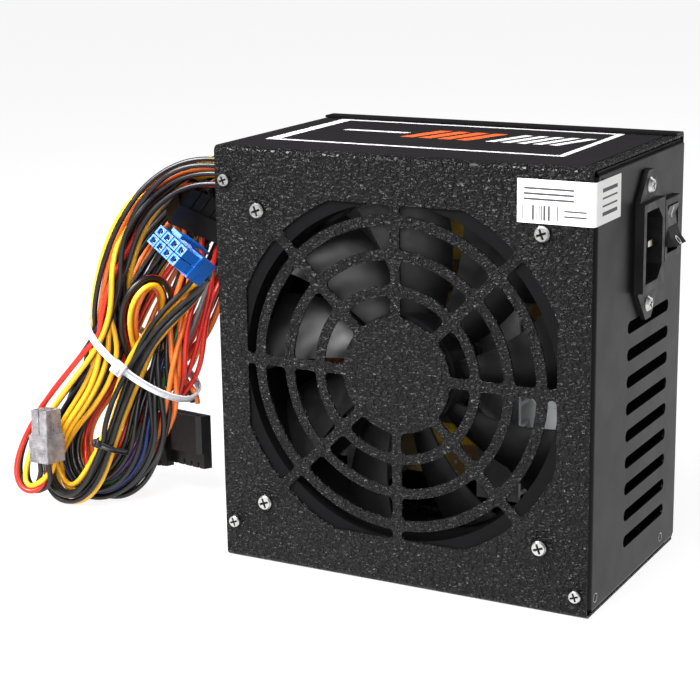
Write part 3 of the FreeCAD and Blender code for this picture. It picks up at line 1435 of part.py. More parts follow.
def cable_tie(name, place, major, minor, width, head):
    """Strap pulled into an oval round a bundle, with its ratchet head."""
    owner = body(name)
    band = sketch(owner, "XY_Plane", name + "_band", -width / 2)
    for extra in (0.0, 1.1):
        band.addGeometry(
            Part.Ellipse(Vector(0, 0, 0), major + extra, minor + extra)
        )
    pad(owner, band, width)
    lock = sketch(owner, "XY_Plane", name + "_lock", -head[2] / 2)
    x = head[3]
    into_band = 0.5
    y = -minor * math.sqrt(1 - (x / major) ** 2) - into_band - head[1]
    half = head[0] / 2
    polygon(
        lock,
        [(x - half, y), (x + half, y), (x + half, y + head[1]), (x - half, y + head[1])],
    )
    pad(owner, lock, head[2])
    owner.Placement = place
    node(owner, name)


def make_ties():
    """Large tie round the folded harness and small one round the processor cable."""
    large = frame_of((-131.3, -3.0, 57.8), (0.776, 0.214, -0.593), (0.59, 0.086, 0.803))
    cable_tie("harness_tie", large, 25.0, 17.8, 3.0, (5.4, 4.4, 4.6, -1.3))
    small = frame_of((-136.4, -20.8, 25.7), (0.9, -0.3, -0.2), (0.255, 0.306, 0.918))
    cable_tie("cable_tie", small, 4.6, 4.4, 2.4, (3.2, 2.6, 3.0, 0.0))


MAINS_ROUTES = {
    "neutral_wire": [
        (43, 1.5, 110.2), (38, 1.5, 110), (30, 5, 110), (24, 14, 111), (22, 26, 112),
        (22, 35.4, 112),
    ],
    "live_wire": [
        (43, 1.5, 124.2), (38.5, 1.5, 125), (36, 9, 127), (36.5, 19, 126.5),
        (39.5, 25.5, 124.6), (44, 26, 124.2),
    ],
    "switched_wire": [(44, 26, 114.2), (41, 24, 112.5), (40, 23.5, 108), (40.5, 28.5, 107)],
    "earth_wire": [
        (43, 5.5, 117.2), (38, 8, 116), (36.2, 17, 113), (36, 27, 110), (36, 35.4, 109),
    ],
}  # fmt: skip


def make_inner_wires():
    """Wires inside the case: from the inlet and switch, and from the fan to its plug."""
    wires = [tube(name, route, size("wire_diameter")) for name, route in MAINS_ROUTES.items()]
    node(group("mains_wires", wires), "mains_wires")
    node(tube("fan_lead", FAN_LEAD_ROUTE, 2.6), "fan_lead")
    plug = centred_box("fan_plug", (6.0, 8.0, 5.0), (-54.0, BOARD - 4.0, 54.5))
    node(plug, "fan_plug")


PARTS = (
    make_cover_shell,
    make_base_shell,
    make_cover_fasteners,
    make_barcode_sticker,
    make_fan_frame,
    make_fan_rotor,
    make_fan_motor,
    make_mains_inlet,
    make_mains_inlet_metal,
    make_switch,
    make_rocker,
    make_board,
    make_heatsinks,
    make_main_transformer,
    make_wound_parts,
    make_small_parts,
    make_cables,
    make_main_spread,
    make_grommet,
    make_connectors,
    make_ties,
    make_inner_wires,
)


def check_document():
    """Stops if any object failed to build or any sub-part's shape isn't sound."""
    doc.recompute()
    failed = [o.Name for o in doc.Objects if "Invalid" in o.State or "Error" in o.State]
    if failed:
        raise RuntimeError(f"these objects failed: {failed}")
    for name, item in nodes.items():
        shape = item.Shape
        if shape.isNull() or not shape.isValid() or not shape.Solids:
            raise RuntimeError(f"{name} has no sound solid")


def export_parts():
    """Writes one STEP file for each sub-part."""
    os.makedirs("parts", exist_ok=True)
    for name, item in nodes.items():
        item.Shape.exportStep(f"parts/{name}.step")
        solids = len(item.Shape.Solids)
        print(f"{name}: {solids} solids, {item.Shape.Volume:.0f} mm3")


for make in PARTS:
    make()
check_document()
export_parts()
print(f"{len(nodes)} sub-parts")
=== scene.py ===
"""Looks of a desktop power supply: steel case, fan, inlet, switch and a tied bundle of output wires."""

import math

import bmesh
import bpy
import numpy as np
from mathutils import Matrix, Vector, noise


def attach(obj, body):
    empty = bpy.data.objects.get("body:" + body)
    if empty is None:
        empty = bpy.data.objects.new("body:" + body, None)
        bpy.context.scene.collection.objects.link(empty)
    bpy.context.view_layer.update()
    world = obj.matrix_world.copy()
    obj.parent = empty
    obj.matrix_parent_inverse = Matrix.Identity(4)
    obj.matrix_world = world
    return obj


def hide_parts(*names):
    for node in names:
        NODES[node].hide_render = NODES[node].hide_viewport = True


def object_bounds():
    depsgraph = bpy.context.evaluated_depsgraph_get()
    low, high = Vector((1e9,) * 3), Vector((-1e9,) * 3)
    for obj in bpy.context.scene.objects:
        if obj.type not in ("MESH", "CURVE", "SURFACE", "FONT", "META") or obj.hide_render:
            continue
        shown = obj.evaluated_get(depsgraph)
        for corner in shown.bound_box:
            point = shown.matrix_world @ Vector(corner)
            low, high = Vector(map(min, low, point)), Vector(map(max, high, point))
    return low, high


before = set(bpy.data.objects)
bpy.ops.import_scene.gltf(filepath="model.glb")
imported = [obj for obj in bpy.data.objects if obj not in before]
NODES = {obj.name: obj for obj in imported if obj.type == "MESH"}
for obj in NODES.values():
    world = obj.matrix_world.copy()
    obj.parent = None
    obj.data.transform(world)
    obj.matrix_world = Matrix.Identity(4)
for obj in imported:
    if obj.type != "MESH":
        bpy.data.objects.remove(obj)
cad_box = [list(corner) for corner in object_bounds()]
ROOT = "power_supply"
WIRE_RADIUS = 0.00103
# Case screw holes in the outlet panel: centres as (y, z), and the radius of the bare thread
TAPPED_HOLES = ((-0.037, 0.006), (0.027, 0.006), (0.037, 0.120))
TAPPED_RADIUS = 0.0016
# Middle and half width, along Y, of a band of painted shade on the screws of the fan side: their cross slots
# and the base of the heads
SLOT_SHADE_BAND = (-0.0433, 0.0004)
# Beyond these X a surface is near the outlet panel, or on the outside of it
PANEL_NEAR, PANEL_OUTSIDE = 0.06, 0.0695


def add_object(name, data):
    item = bpy.data.objects.new(name, data)
    bpy.context.scene.collection.objects.link(item)
    return item


# --- Camera ---


def direction(azimuth, elevation):
    """Unit vector from the object towards a viewer at that azimuth and elevation."""
    a, e = math.radians(azimuth), math.radians(elevation)
    return Vector((math.sin(a) * math.cos(e), -math.cos(a) * math.cos(e), math.sin(e)))


VIEWER = direction(28.7, 14.46)
CAMERA_PLACE = (0.27288, -0.57304, 0.23803)
CAMERA_ROLL = math.radians(-0.95)
FOCAL_LENGTH, SENSOR_WIDTH = 94.83, 36


def make_camera():
    """Camera at the viewing angle that VIEWER gives, slightly rolled."""
    back = VIEWER
    right = Vector((0, 0, 1)).cross(back).normalized()
    up = back.cross(right)
    across = right * math.cos(CAMERA_ROLL) + up * math.sin(CAMERA_ROLL)
    upward = up * math.cos(CAMERA_ROLL) - right * math.sin(CAMERA_ROLL)
    data = bpy.data.cameras.new("camera")
    data.sensor_width = SENSOR_WIDTH
    data.lens = FOCAL_LENGTH
    camera = add_object("camera", data)
    matrix = Matrix((across, upward, back)).transposed().to_4x4()
    matrix.translation = CAMERA_PLACE
    camera.matrix_world = matrix
    bpy.context.scene.camera = camera
    bpy.context.scene.view_settings.view_transform = "Standard"


make_camera()


# --- Materials ---


class Shade:
    """A material under construction: its node tree, its shader and shared coordinates."""

    def __init__(self, name, roughness=0.5, metallic=0.0, specular=0.5):
        self.material = bpy.data.materials.new(name)
        self.material.use_nodes = True
        self.tree = self.material.node_tree
        self.shader = self.tree.nodes["Principled BSDF"]
        self.shader.inputs["Roughness"].default_value = roughness
        self.shader.inputs["Metallic"].default_value = metallic
        self.shader.inputs["Specular IOR Level"].default_value = specular
        self.coords = self.tree.nodes.new("ShaderNodeTexCoord").outputs["Object"]
        self.height = None

    def new(self, kind, **settings):
        item = self.tree.nodes.new(kind)
        for key, value in settings.items():
            setattr(item, key, value)
        return item

    def link(self, source, target):
        self.tree.links.new(source, target)

    def feed(self, target, value):
        if isinstance(value, (int, float)):
            target.default_value = value
        else:
            self.link(value, target)

    def math(self, operation, a, b=0.0, c=0.0):
        item = self.new("ShaderNodeMath", operation=operation)
        for target, value in zip(item.inputs, (a, b, c)):
            self.feed(target, value)
        return item.outputs[0]

    def axes(self):
        split = self.new("ShaderNodeSeparateXYZ")
        self.link(self.coords, split.inputs[0])
        return split.outputs

    def noise(self, size, detail=2.0, distortion=0.0, stretch=None):
        item = self.new("ShaderNodeTexNoise")
        item.inputs["Scale"].default_value = 1.0 / size
        item.inputs["Detail"].default_value = detail
        item.inputs["Distortion"].default_value = distortion
        source = self.coords
        if stretch:
            mapping = self.new("ShaderNodeMapping")
            mapping.inputs["Scale"].default_value = stretch
            self.link(source, mapping.inputs[0])
            source = mapping.outputs[0]
        self.link(source, item.inputs["Vector"])
        return item.outputs["Fac"]

    def remap(self, value, low, high, out_low=0.0, out_high=1.0):
        item = self.new("ShaderNodeMapRange")
        for key, number in zip(
            ("From Min", "From Max", "To Min", "To Max"), (low, high, out_low, out_high)
        ):
            item.inputs[key].default_value = number
        self.link(value, item.inputs[0])
        return item.outputs[0]

    def mix(self, factor, first, second):
        item = self.new("ShaderNodeMix", data_type="RGBA")
        self.feed(item.inputs[0], factor)
        for target, value in ((item.inputs[6], first), (item.inputs[7], second)):
            if isinstance(value, tuple):
                target.default_value = (*value, 1)
            else:
                self.link(value, target)
        return item.outputs[2]

    def colour(self, value):
        self.link(value, self.shader.inputs["Base Color"])

    def rough(self, value):
        self.link(value, self.shader.inputs["Roughness"])

    def patchy(self, size, detail, low, high):
        """Roughness that drifts between two values over patches of about that size."""
        self.rough(self.remap(self.noise(size, detail), 0.3, 0.7, low, high))

    def bump(self, height, strength, distance):
        item = self.new("ShaderNodeBump")
        item.inputs["Strength"].default_value = strength
        item.inputs["Distance"].default_value = distance
        self.link(height, item.inputs["Height"])
        if self.height is not None:
            self.link(self.height, item.inputs["Normal"])
        self.height = item.outputs[0]
        self.link(self.height, self.shader.inputs["Normal"])

    def bars(self, axis, rows):
        """1 where the coordinate is inside one of the (centre, half width) rows."""
        total = None
        for centre, half in rows:
            item = self.math("COMPARE", axis, centre, half)
            total = item if total is None else self.math("MAXIMUM", total, item)
        return total


def tint(colour, factor):
    return tuple(min(1.0, c * factor) for c in colour)


def moulded(name, colour, roughness=0.42, grain=0.0006, depth=0.00003, spread=0.25, specular=0.5):
    """Moulded plastic: faint colour drift, fine matt grain and handled patches."""
    shade = Shade(name, roughness, 0.0, specular)
    drift = shade.noise(0.012, 3)
    shade.colour(shade.mix(drift, tint(colour, 1 - spread), tint(colour, 1 + spread)))
    shade.patchy(0.004, 4, roughness - 0.07, roughness + 0.09)
    shade.bump(shade.noise(grain, 2), 0.5, depth)
    return shade.material


def metal(name, colour, roughness=0.32, stretch=(1, 1, 1), size=0.0004, depth=0.00001):
    """Bare metal with drawn or turned lines and slightly dull patches."""
    shade = Shade(name, roughness, 1.0)
    lines = shade.noise(size, 3, 0, stretch)
    shade.colour(shade.mix(shade.noise(0.003, 3), tint(colour, 0.82), tint(colour, 1.08)))
    shade.rough(shade.remap(lines, 0.25, 0.75, roughness - 0.1, roughness + 0.14))
    shade.bump(lines, 0.35, depth)
    return shade.material


def zinc_plate():
    """Bright plating of the fasteners, with painted shade in the cross slots and a painted contact shadow
    round the base of the heads on the fan side.
    """
    bright = (0.60, 0.60, 0.59)
    shade = Shade("zinc_plate", 0.3, 1.0)
    lines = shade.noise(0.0005, 3, 0, (1, 6, 1))
    plate = shade.mix(shade.noise(0.003, 3), tint(bright, 0.82), tint(bright, 1.08))
    # Painted shade: near black in the cross slots, and a painted contact shadow round the base of each head
    # on the fan side
    slots = shade.bars(shade.axes()[1], [SLOT_SHADE_BAND])
    shade.colour(shade.mix(slots, plate, (0.02, 0.02, 0.02)))
    shade.rough(shade.remap(lines, 0.25, 0.75, 0.2, 0.44))
    shade.bump(lines, 0.35, 0.00001)
    return shade.material


def wrinkled_paint():
    """Black powder coat that has dried into close, short wrinkles, with painted shade in the wrinkle valleys.
    """
    shade = Shade("wrinkled_paint", 0.3, 0.0, 0.2)
    folds = shade.noise(0.0014, 0.3, 0.9, (0.9, 1.0, 1.1))
    raised = shade.remap(folds, 0.34, 0.66)
    fine = shade.noise(0.0006, 2)
    height = shade.math("MULTIPLY_ADD", fine, 0.08, raised)
    # Painted shade: the colour is darker in the valleys of the wrinkles and lighter on their crests
    shade.colour(shade.mix(raised, (0.0016, 0.0014, 0.0016), (0.0045, 0.004, 0.0045)))
    shade.rough(shade.remap(raised, 0.2, 0.8, 0.5, 0.2))
    shade.bump(height, 1.0, 0.0011)
    return shade.material


def satin_paint():
    """Smoother black coat of the base: orange peel, faint dust, and bare steel in the tapped holes."""
    shade = Shade("satin_paint", 0.3, 0.0, 0.12)
    peel = shade.noise(0.0016, 2, 0.4)
    dust = shade.noise(0.0003, 4)
    speck = shade.remap(dust, 0.70, 0.78, 0.0, 0.25)
    painted = shade.mix(speck, (0.0024, 0.002, 0.0024), (0.03, 0.03, 0.03))
    x, y, z = shade.axes()
    bare = None
    for centre_y, centre_z in TAPPED_HOLES:
        dy, dz = shade.math("SUBTRACT", y, centre_y), shade.math("SUBTRACT", z, centre_z)
        square = shade.math("MULTIPLY_ADD", dz, dz, shade.math("MULTIPLY", dy, dy))
        inside = shade.math("LESS_THAN", square, TAPPED_RADIUS**2)
        bare = inside if bare is None else shade.math("MAXIMUM", bare, inside)
    bare = shade.math("MULTIPLY", bare, shade.math("GREATER_THAN", x, PANEL_NEAR))
    shade.colour(shade.mix(bare, painted, (0.62, 0.62, 0.62)))
    shade.feed(shade.shader.inputs["Metallic"], bare)
    shade.patchy(0.012, 4, 0.29, 0.36)
    shade.bump(peel, 0.35, 0.00008)
    return shade.material


def printed_label():
    """Dark printed film with a white rectangular border and plain slanted bars."""
    shade = Shade("printed_label", 0.33, 0.0, 0.25)
    x, y, _ = shade.axes()
    left, right, front, rear = -0.0605, 0.0512, -0.0232, 0.0335
    middle_x, middle_y = (left + right) / 2, (front + rear) / 2
    inside_y = shade.math("COMPARE", y, middle_y, (rear - front) / 2)
    inside_x = shade.math("COMPARE", x, middle_x, (right - left) / 2)
    uprights = shade.bars(x, [(left + 0.0022, 0.0022), (right - 0.0012, 0.0012)])
    levels = shade.bars(y, [(front + 0.0011, 0.0011), (rear - 0.0011, 0.0011)])
    border = shade.math(
        "MAXIMUM",
        shade.math("MULTIPLY", uprights, inside_y),
        shade.math("MULTIPLY", levels, inside_x),
    )
    slanted = shade.math("MULTIPLY_ADD", y, -0.35, x)
    band = shade.math("COMPARE", y, 0.0085, 0.0095)
    thin = shade.math("COMPARE", y, 0.0085, 0.0014)
    white = [(0.0155 + 0.0058 * k, 0.0017) for k in range(5)]
    orange = [(-0.0165 + 0.0072 * k, 0.0024) for k in range(4)]
    white_bars = shade.math("MULTIPLY", shade.bars(slanted, white), band)
    rule = shade.math("MULTIPLY", shade.math("COMPARE", slanted, -0.036, 0.0125), thin)
    pale = shade.math("MAXIMUM", border, shade.math("MAXIMUM", white_bars, rule))
    vivid = shade.math("MULTIPLY", shade.bars(slanted, orange), band)
    film = shade.mix(shade.noise(0.02, 3), (0.0035, 0.003, 0.0035), (0.006, 0.0055, 0.006))
    printed = shade.mix(pale, film, (0.62, 0.62, 0.62))
    shade.colour(shade.mix(vivid, printed, (0.62, 0.09, 0.02)))
    shade.patchy(0.006, 3, 0.36, 0.42)
    shade.bump(shade.noise(0.0012, 2), 0.15, 0.00003)
    return shade.material


def paper_sticker():
    """White coated paper with a generic bar pattern and two ruled boxes."""
    shade = Shade("paper_sticker", 0.5)
    x, y, z = shade.axes()
    strip = shade.math("FLOOR", shade.math("MULTIPLY", x, 2600.0))
    hashed = shade.new("ShaderNodeTexWhiteNoise", noise_dimensions="1D")
    shade.link(strip, hashed.inputs["W"])
    dark_strip = shade.math("GREATER_THAN", hashed.outputs[0], 0.48)
    low = shade.math("COMPARE", z, 0.1342, 0.0024)
    block = shade.math("COMPARE", x, 0.0515, 0.0062)
    bars = shade.math("MULTIPLY", dark_strip, shade.math("MULTIPLY", low, block))
    rules = shade.bars(z, [(0.1385, 0.00035), (0.1402, 0.00035), (0.1419, 0.00035)])
    ruled = shade.math("MULTIPLY", rules, shade.math("COMPARE", x, 0.0545, 0.0085))
    short = shade.bars(z, [(0.1335, 0.0003), (0.1352, 0.0003)])
    ruled_short = shade.math("MULTIPLY", short, shade.math("COMPARE", x, 0.0635, 0.0038))
    side = shade.bars(z, [(0.134, 0.0006), (0.1365, 0.0003), (0.139, 0.0003), (0.1415, 0.0006)])
    ruled_side = shade.math("MULTIPLY", side, shade.math("COMPARE", y, -0.031, 0.0065))
    on_side = shade.math("MULTIPLY", ruled_side, shade.math("GREATER_THAN", x, PANEL_OUTSIDE))
    ink = shade.math("MAXIMUM", bars, shade.math("MAXIMUM", ruled, ruled_short))
    ink = shade.math("MAXIMUM", ink, on_side)
    paper = shade.mix(shade.noise(0.006, 3), (0.74, 0.74, 0.73), (0.84, 0.84, 0.83))
    shade.colour(shade.mix(ink, paper, (0.035, 0.035, 0.04)))
    shade.patchy(0.0008, 3, 0.42, 0.58)
    shade.bump(shade.noise(0.0009, 3), 0.3, 0.00003)
    return shade.material


def rocker_plastic():
    """Black rocker with the usual I and O marks."""
    shade = Shade("rocker_plastic", 0.38)
    x, y, z = shade.axes()
    middle = 0.026
    upper, lower = 0.1245, 0.1150
    stroke = shade.math(
        "MULTIPLY",
        shade.math("COMPARE", y, middle, 0.00035),
        shade.math("COMPARE", z, upper, 0.0018),
    )
    dy = shade.math("SUBTRACT", y, middle)
    dz = shade.math("SUBTRACT", z, lower)
    square = shade.math("MULTIPLY_ADD", dz, dz, shade.math("MULTIPLY", dy, dy))
    ring = shade.math("COMPARE", shade.math("SQRT", square), 0.00115, 0.00028)
    face = shade.math("GREATER_THAN", x, PANEL_OUTSIDE)
    mark = shade.math("MULTIPLY", shade.math("MAXIMUM", stroke, ring), face)
    body = shade.mix(shade.noise(0.006, 3), (0.012, 0.012, 0.012), (0.022, 0.022, 0.022))
    shade.colour(shade.mix(mark, body, (0.78, 0.78, 0.78)))
    shade.patchy(0.002, 3, 0.30, 0.46)
    shade.bump(shade.noise(0.0004, 2), 0.4, 0.00002)
    return shade.material


def capacitor_sleeve(name, sleeve, stripe):
    """Shrink sleeve round each can, a paler stripe, and a bare aluminium top."""
    shade = Shade(name, 0.3)
    geometry = shade.new("ShaderNodeNewGeometry")
    split = shade.new("ShaderNodeSeparateXYZ")
    shade.link(geometry.outputs["Normal"], split.inputs[0])
    top = shade.math("LESS_THAN", split.outputs[1], -0.85)
    marked = shade.math("GREATER_THAN", split.outputs[0], 0.86)
    wrap = shade.mix(shade.noise(0.01, 2), tint(sleeve, 0.8), tint(sleeve, 1.2))
    both = shade.mix(marked, wrap, stripe)
    shade.colour(shade.mix(top, both, (0.62, 0.63, 0.64)))
    shade.patchy(0.003, 3, 0.24, 0.4)
    shade.bump(shade.noise(0.002, 2), 0.3, 0.00006)
    return shade.material


def wound(name, colour, pitch=0.0011):
    """Enamelled wire wound side by side, seen as close ribs with painted shade in the grooves between turns.
    """
    shade = Shade(name, 0.3, 0.6)
    wave = shade.new("ShaderNodeTexWave", wave_type="BANDS", bands_direction="DIAGONAL")
    wave.inputs["Scale"].default_value = 0.55 / pitch
    wave.inputs["Distortion"].default_value = 1.2
    wave.inputs["Detail Scale"].default_value = 3
    shade.link(shade.coords, wave.inputs["Vector"])
    ribs = wave.outputs["Fac"]
    # Painted shade: the colour drops to about a third in the grooves between the turns
    shade.colour(shade.mix(ribs, tint(colour, 0.35), tint(colour, 1.15)))
    shade.patchy(0.002, 2, 0.22, 0.42)
    shade.bump(ribs, 0.9, 0.0003)
    return shade.material


def board(name):
    """Tan circuit board: brown resist side with pale component rings and solder."""
    shade = Shade(name, 0.45)
    dots = shade.new("ShaderNodeTexVoronoi")
    dots.inputs["Scale"].default_value = 240
    shade.link(shade.coords, dots.inputs["Vector"])
    pad = shade.remap(dots.outputs["Distance"], 0.16, 0.2, 1.0, 0.0)
    weave = shade.noise(0.0015, 3)
    base = shade.mix(weave, (0.36, 0.22, 0.07), (0.50, 0.33, 0.12))
    shade.colour(shade.mix(pad, base, (0.62, 0.62, 0.60)))
    shade.rough(shade.remap(pad, 0.0, 1.0, 0.5, 0.25))
    shade.bump(pad, 0.5, 0.0003)
    return shade.material


def clear_glass():
    shade = Shade("fuse_glass", 0.06)
    shade.shader.inputs["Transmission Weight"].default_value = 0.85
    shade.colour(shade.mix(shade.noise(0.004, 2), (0.78, 0.84, 0.84), (0.92, 0.95, 0.95)))
    shade.bump(shade.noise(0.002, 1), 0.1, 0.00002)
    return shade.material


def insulation(name, colour, roughness=0.3):
    """Wire insulation: glossy vinyl with slow colour drift and scuffs."""
    shade = Shade(name, roughness)
    drift = shade.noise(0.018, 3)
    shade.colour(shade.mix(drift, tint(colour, 0.78), tint(colour, 1.16)))
    shade.patchy(0.005, 4, roughness - 0.07, roughness + 0.13)
    shade.bump(shade.noise(0.0012, 2), 0.25, 0.00004)
    return shade.material


def milky_nylon(name, colour, through):
    """Natural nylon that lets light a little way in."""
    shade = Shade(name, 0.33)
    shade.shader.inputs["Subsurface Weight"].default_value = through
    shade.shader.inputs["Subsurface Radius"].default_value = (0.002, 0.002, 0.002)
    shade.colour(shade.mix(shade.noise(0.004, 3), tint(colour, 0.86), tint(colour, 1.06)))
    shade.patchy(0.002, 3, 0.26, 0.42)
    shade.bump(shade.noise(0.0006, 2), 0.35, 0.00004)
    return shade.material


def smoky_nylon():
    """Grey housing that lets light through, with darker depth and faint level mould lines."""
    shade = Shade("smoky_nylon", 0.25)
    shade.shader.inputs["Transmission Weight"].default_value = 0.35
    shade.shader.inputs["Subsurface Weight"].default_value = 0.2
    shade.shader.inputs["Subsurface Radius"].default_value = (0.003, 0.003, 0.003)
    _, _, z = shade.axes()
    wave = shade.math("SINE", shade.math("MULTIPLY", z, 2 * math.pi / 0.0011))
    cloud = shade.noise(0.005, 4, 0.6)
    mixed = shade.math("MULTIPLY_ADD", wave, 0.02, cloud)
    shade.colour(shade.mix(shade.remap(mixed, 0.25, 0.7), (0.10, 0.095, 0.10), (0.42, 0.40, 0.42)))
    shade.patchy(0.002, 3, 0.18, 0.36)
    shade.bump(wave, 0.15, 0.00003)
    return shade.material


WIRE_COLOURS = {
    "black": (0.005, 0.005, 0.0055),
    "red": (0.56, 0.018, 0.010),
    "orange": (0.80, 0.17, 0.025),
    "yellow": (0.82, 0.42, 0.015),
    "purple": (0.10, 0.035, 0.16),
    "green": (0.03, 0.16, 0.05),
    "grey": (0.17, 0.17, 0.18),
    "blue": (0.012, 0.025, 0.12),
}
WIRES = {name: insulation("wire_" + name, value) for name, value in WIRE_COLOURS.items()}


def dress_nodes():
    """Gives every CAD node its material."""
    plastic = moulded("black_moulding", (0.004, 0.0038, 0.004), specular=0.32)
    device = moulded("device_epoxy", (0.02, 0.02, 0.021), 0.55)
    fan = moulded("fan_moulding", (0.004, 0.0038, 0.0042), 0.38, 0.0005, 0.00002, 0.2, 0.24)
    ring = moulded("fan_frame_moulding", (0.003, 0.0028, 0.0032), 0.5, 0.0005, 0.00002, 0.2, 0.08)
    zinc = zinc_plate()
    steel = metal("ground_steel", (0.72, 0.72, 0.72), 0.22, (1, 0.1, 1))
    bronze = metal("bronze", (0.62, 0.44, 0.24), 0.34)
    plated = metal("plated_pins", (0.80, 0.74, 0.58), 0.24, (1, 8, 8))
    extruded = metal("heatsink_aluminium", (0.66, 0.67, 0.68), 0.34, (6, 1, 0.2), 0.0012, 0.00003)
    tape = moulded("yellow_tape", (0.62, 0.40, 0.03), 0.28, 0.004, 0.0001)
    ferrite = moulded("ferrite", (0.045, 0.043, 0.042), 0.6, 0.0005, 0.00005)
    copper = wound("copper_winding", (0.74, 0.32, 0.12))
    green_winding = wound("green_winding", (0.10, 0.30, 0.12))
    fibre = board("circuit_board")
    sheets = {
        "cover_shell": wrinkled_paint(),
        "base_shell": satin_paint(),
        "side_label": printed_label(),
        "barcode_sticker": paper_sticker(),
        "switch_rocker": rocker_plastic(),
        "bulk_capacitors": capacitor_sleeve("large_sleeve", (0.015, 0.015, 0.03), (0.5, 0.5, 0.5)),
        "output_capacitors": capacitor_sleeve("small_sleeve", (0.02, 0.07, 0.03), (0.6, 0.55, 0.3)),
        "filter_capacitors": moulded("film_box", (0.74, 0.50, 0.05), 0.3, 0.002, 0.00005),
        "thermistor": moulded("dipped_green", (0.05, 0.16, 0.07), 0.5),
        "insulation_sheet": milky_nylon("insulation_film", (0.62, 0.62, 0.58), 0.1),
        "fuse": clear_glass(),
        "fan_plug": milky_nylon("white_nylon", (0.78, 0.78, 0.74), 0.1),
        "fan_lead": WIRES["black"],
        "mains_wires": insulation("mains_insulation", (0.10, 0.035, 0.02)),
        "mains_choke": green_winding,
        "fan_shaft": steel,
        "fan_frame": ring,
        "fan_rotor": fan,
        "processor_connector": moulded("blue_nylon", (0.006, 0.135, 0.56), 0.3, 0.0008, 0.00002, 0.2),
        "peripheral_connector": smoky_nylon(),
    }
    sheets["processor_connector_latch"] = sheets["processor_connector"]
    shared = (
        (copper, ("output_choke", "fan_stator")),
        (ferrite, ("fan_magnet_ring", "main_transformer_core")),
        (tape, ("main_transformer_winding", "standby_transformer", "driver_transformer")),
        (bronze, ("fan_bearing", "board_standoffs")),
        (plated, ("mains_inlet_pins", "switch_terminals")),
        (extruded, ("primary_heatsink", "secondary_heatsink")),
        (fibre, ("main_board", "control_board", "fan_circuit_board")),
        (device, ("switching_transistors", "rectifier_diodes", "bridge_rectifier")),
        (zinc, ("cover_screws", "fan_screws", "mains_inlet_screws", "board_screws")),
    )
    for material, names in shared:
        sheets.update(dict.fromkeys(names, material))
    for name, item in NODES.items():
        item.data.materials.clear()
        item.data.materials.append(sheets.get(name, plastic))


dress_nodes()


# --- Places of the connectors and ties ---


class Place:
    """A local frame: origin in metres, local X and Z directions."""

    def __init__(self, origin, x_dir, z_dir):
        self.z = Vector(z_dir).normalized()
        x = Vector(x_dir)
        self.x = (x - self.z * x.dot(self.z)).normalized()
        self.y = self.z.cross(self.x)
        self.origin = Vector(origin)

    def at(self, x, y, z):
        return self.origin + self.x * x + self.y * y + self.z * z

    def local(self, points):
        axes = np.array([self.x, self.y, self.z])
        return (points - np.array(self.origin)) @ axes.T


MAIN = Place((-0.1035, 0.016, 0.1025), (0.55, 0.70, -0.45), (0.62, 0.02, 0.78))
PROCESSOR = Place((-0.1015, -0.0096, 0.0985), (0.857, -0.26, -0.44), (0, -0.86, 0.51))
SMALL = Place((-0.1585, -0.031, 0.0195), (0.95, -0.1, 0.05), (-0.05, 0.1, 0.99))
SATA = Place((-0.1435, 0.015, 0.0285), (0.93, -0.25, -0.25), (0.12, -0.12, -0.96))
LINK = Place((-0.1206, 0.011, 0.0325), (0.93, -0.37, 0), (0.06, -0.1, -0.99))
LARGE_TIE = Place((-0.1313, -0.003, 0.0578), (0.776, 0.214, -0.593), (0.59, 0.086, 0.803))
SMALL_TIE = Place((-0.1364, -0.0208, 0.0257), (0.9, -0.3, -0.2), (0.255, 0.306, 0.918))
LARGE_OVAL, SMALL_OVAL = (0.0250, 0.0178), (0.0046, 0.0044)
# What a tie gathers: its oval, half its width, and how far out a wire may be, as a share of the oval
TIES = ((LARGE_TIE, LARGE_OVAL, 0.004, 1.6), (SMALL_TIE, SMALL_OVAL, 0.003, 1.4))
PITCH = 0.0042
# Connector bodies that the wires keep out of: place, half width, half height, length
HOUSINGS = (
    (MAIN, 0.0258, 0.0048, 0.0170),
    (PROCESSOR, 0.0090, 0.0048, 0.0196),
    (SMALL, 0.0048, 0.0048, 0.0205),
    (SATA, 0.0110, 0.0032, 0.0210),
    (LINK, 0.0110, 0.0032, 0.0210),
)


# --- Output wires ---

STEP = 0.0025
GOLDEN = math.pi * (3 - math.sqrt(5))
# A wire's drift: the seed of its noise, and the length of cable over which it wanders
WIRE_SEED = 4
DRIFT_LENGTH = 0.045
# The bundle opens out between this X and LOOSENING further from the case
BUNDLED_TO, LOOSENING = -0.076, 0.02
# Samples over which a wire is led into its entry, and how deep into the housing it goes
LEAD_IN, ENTRY_DEPTH = 9, 0.003


def smooth(t):
    t = min(1.0, max(0.0, t))
    return t * t * (3 - 2 * t)


def centreline(points):
    """Evenly spaced points read from the NURBS line of a route."""
    data = bpy.data.curves.new("route", "CURVE")
    data.dimensions = "3D"
    spline = data.splines.new("NURBS")
    spline.points.add(len(points) - 1)
    for item, point in zip(spline.points, points):
        item.co = (*point, 1)
    spline.order_u = 3
    spline.use_endpoint_u = True
    data.resolution_u = 12
    item = add_object("route", data)
    bpy.context.view_layer.update()
    line = bpy.data.meshes.new_from_object(item)
    found = np.array([v.co for v in line.vertices], float)
    bpy.data.objects.remove(item)
    bpy.data.meshes.remove(line)
    return evenly(found, STEP)


def evenly(points, step, count=None):
    along = np.concatenate([[0], np.cumsum(np.linalg.norm(np.diff(points, axis=0), axis=1))])
    count = count or max(4, int(round(along[-1] / step)) + 1)
    wanted = np.linspace(0, along[-1], count)
    return np.stack([np.interp(wanted, along, points[:, k]) for k in range(3)], axis=1)


def unit(rows):
    return rows / np.maximum(np.linalg.norm(rows, axis=-1, keepdims=True), 1e-12)


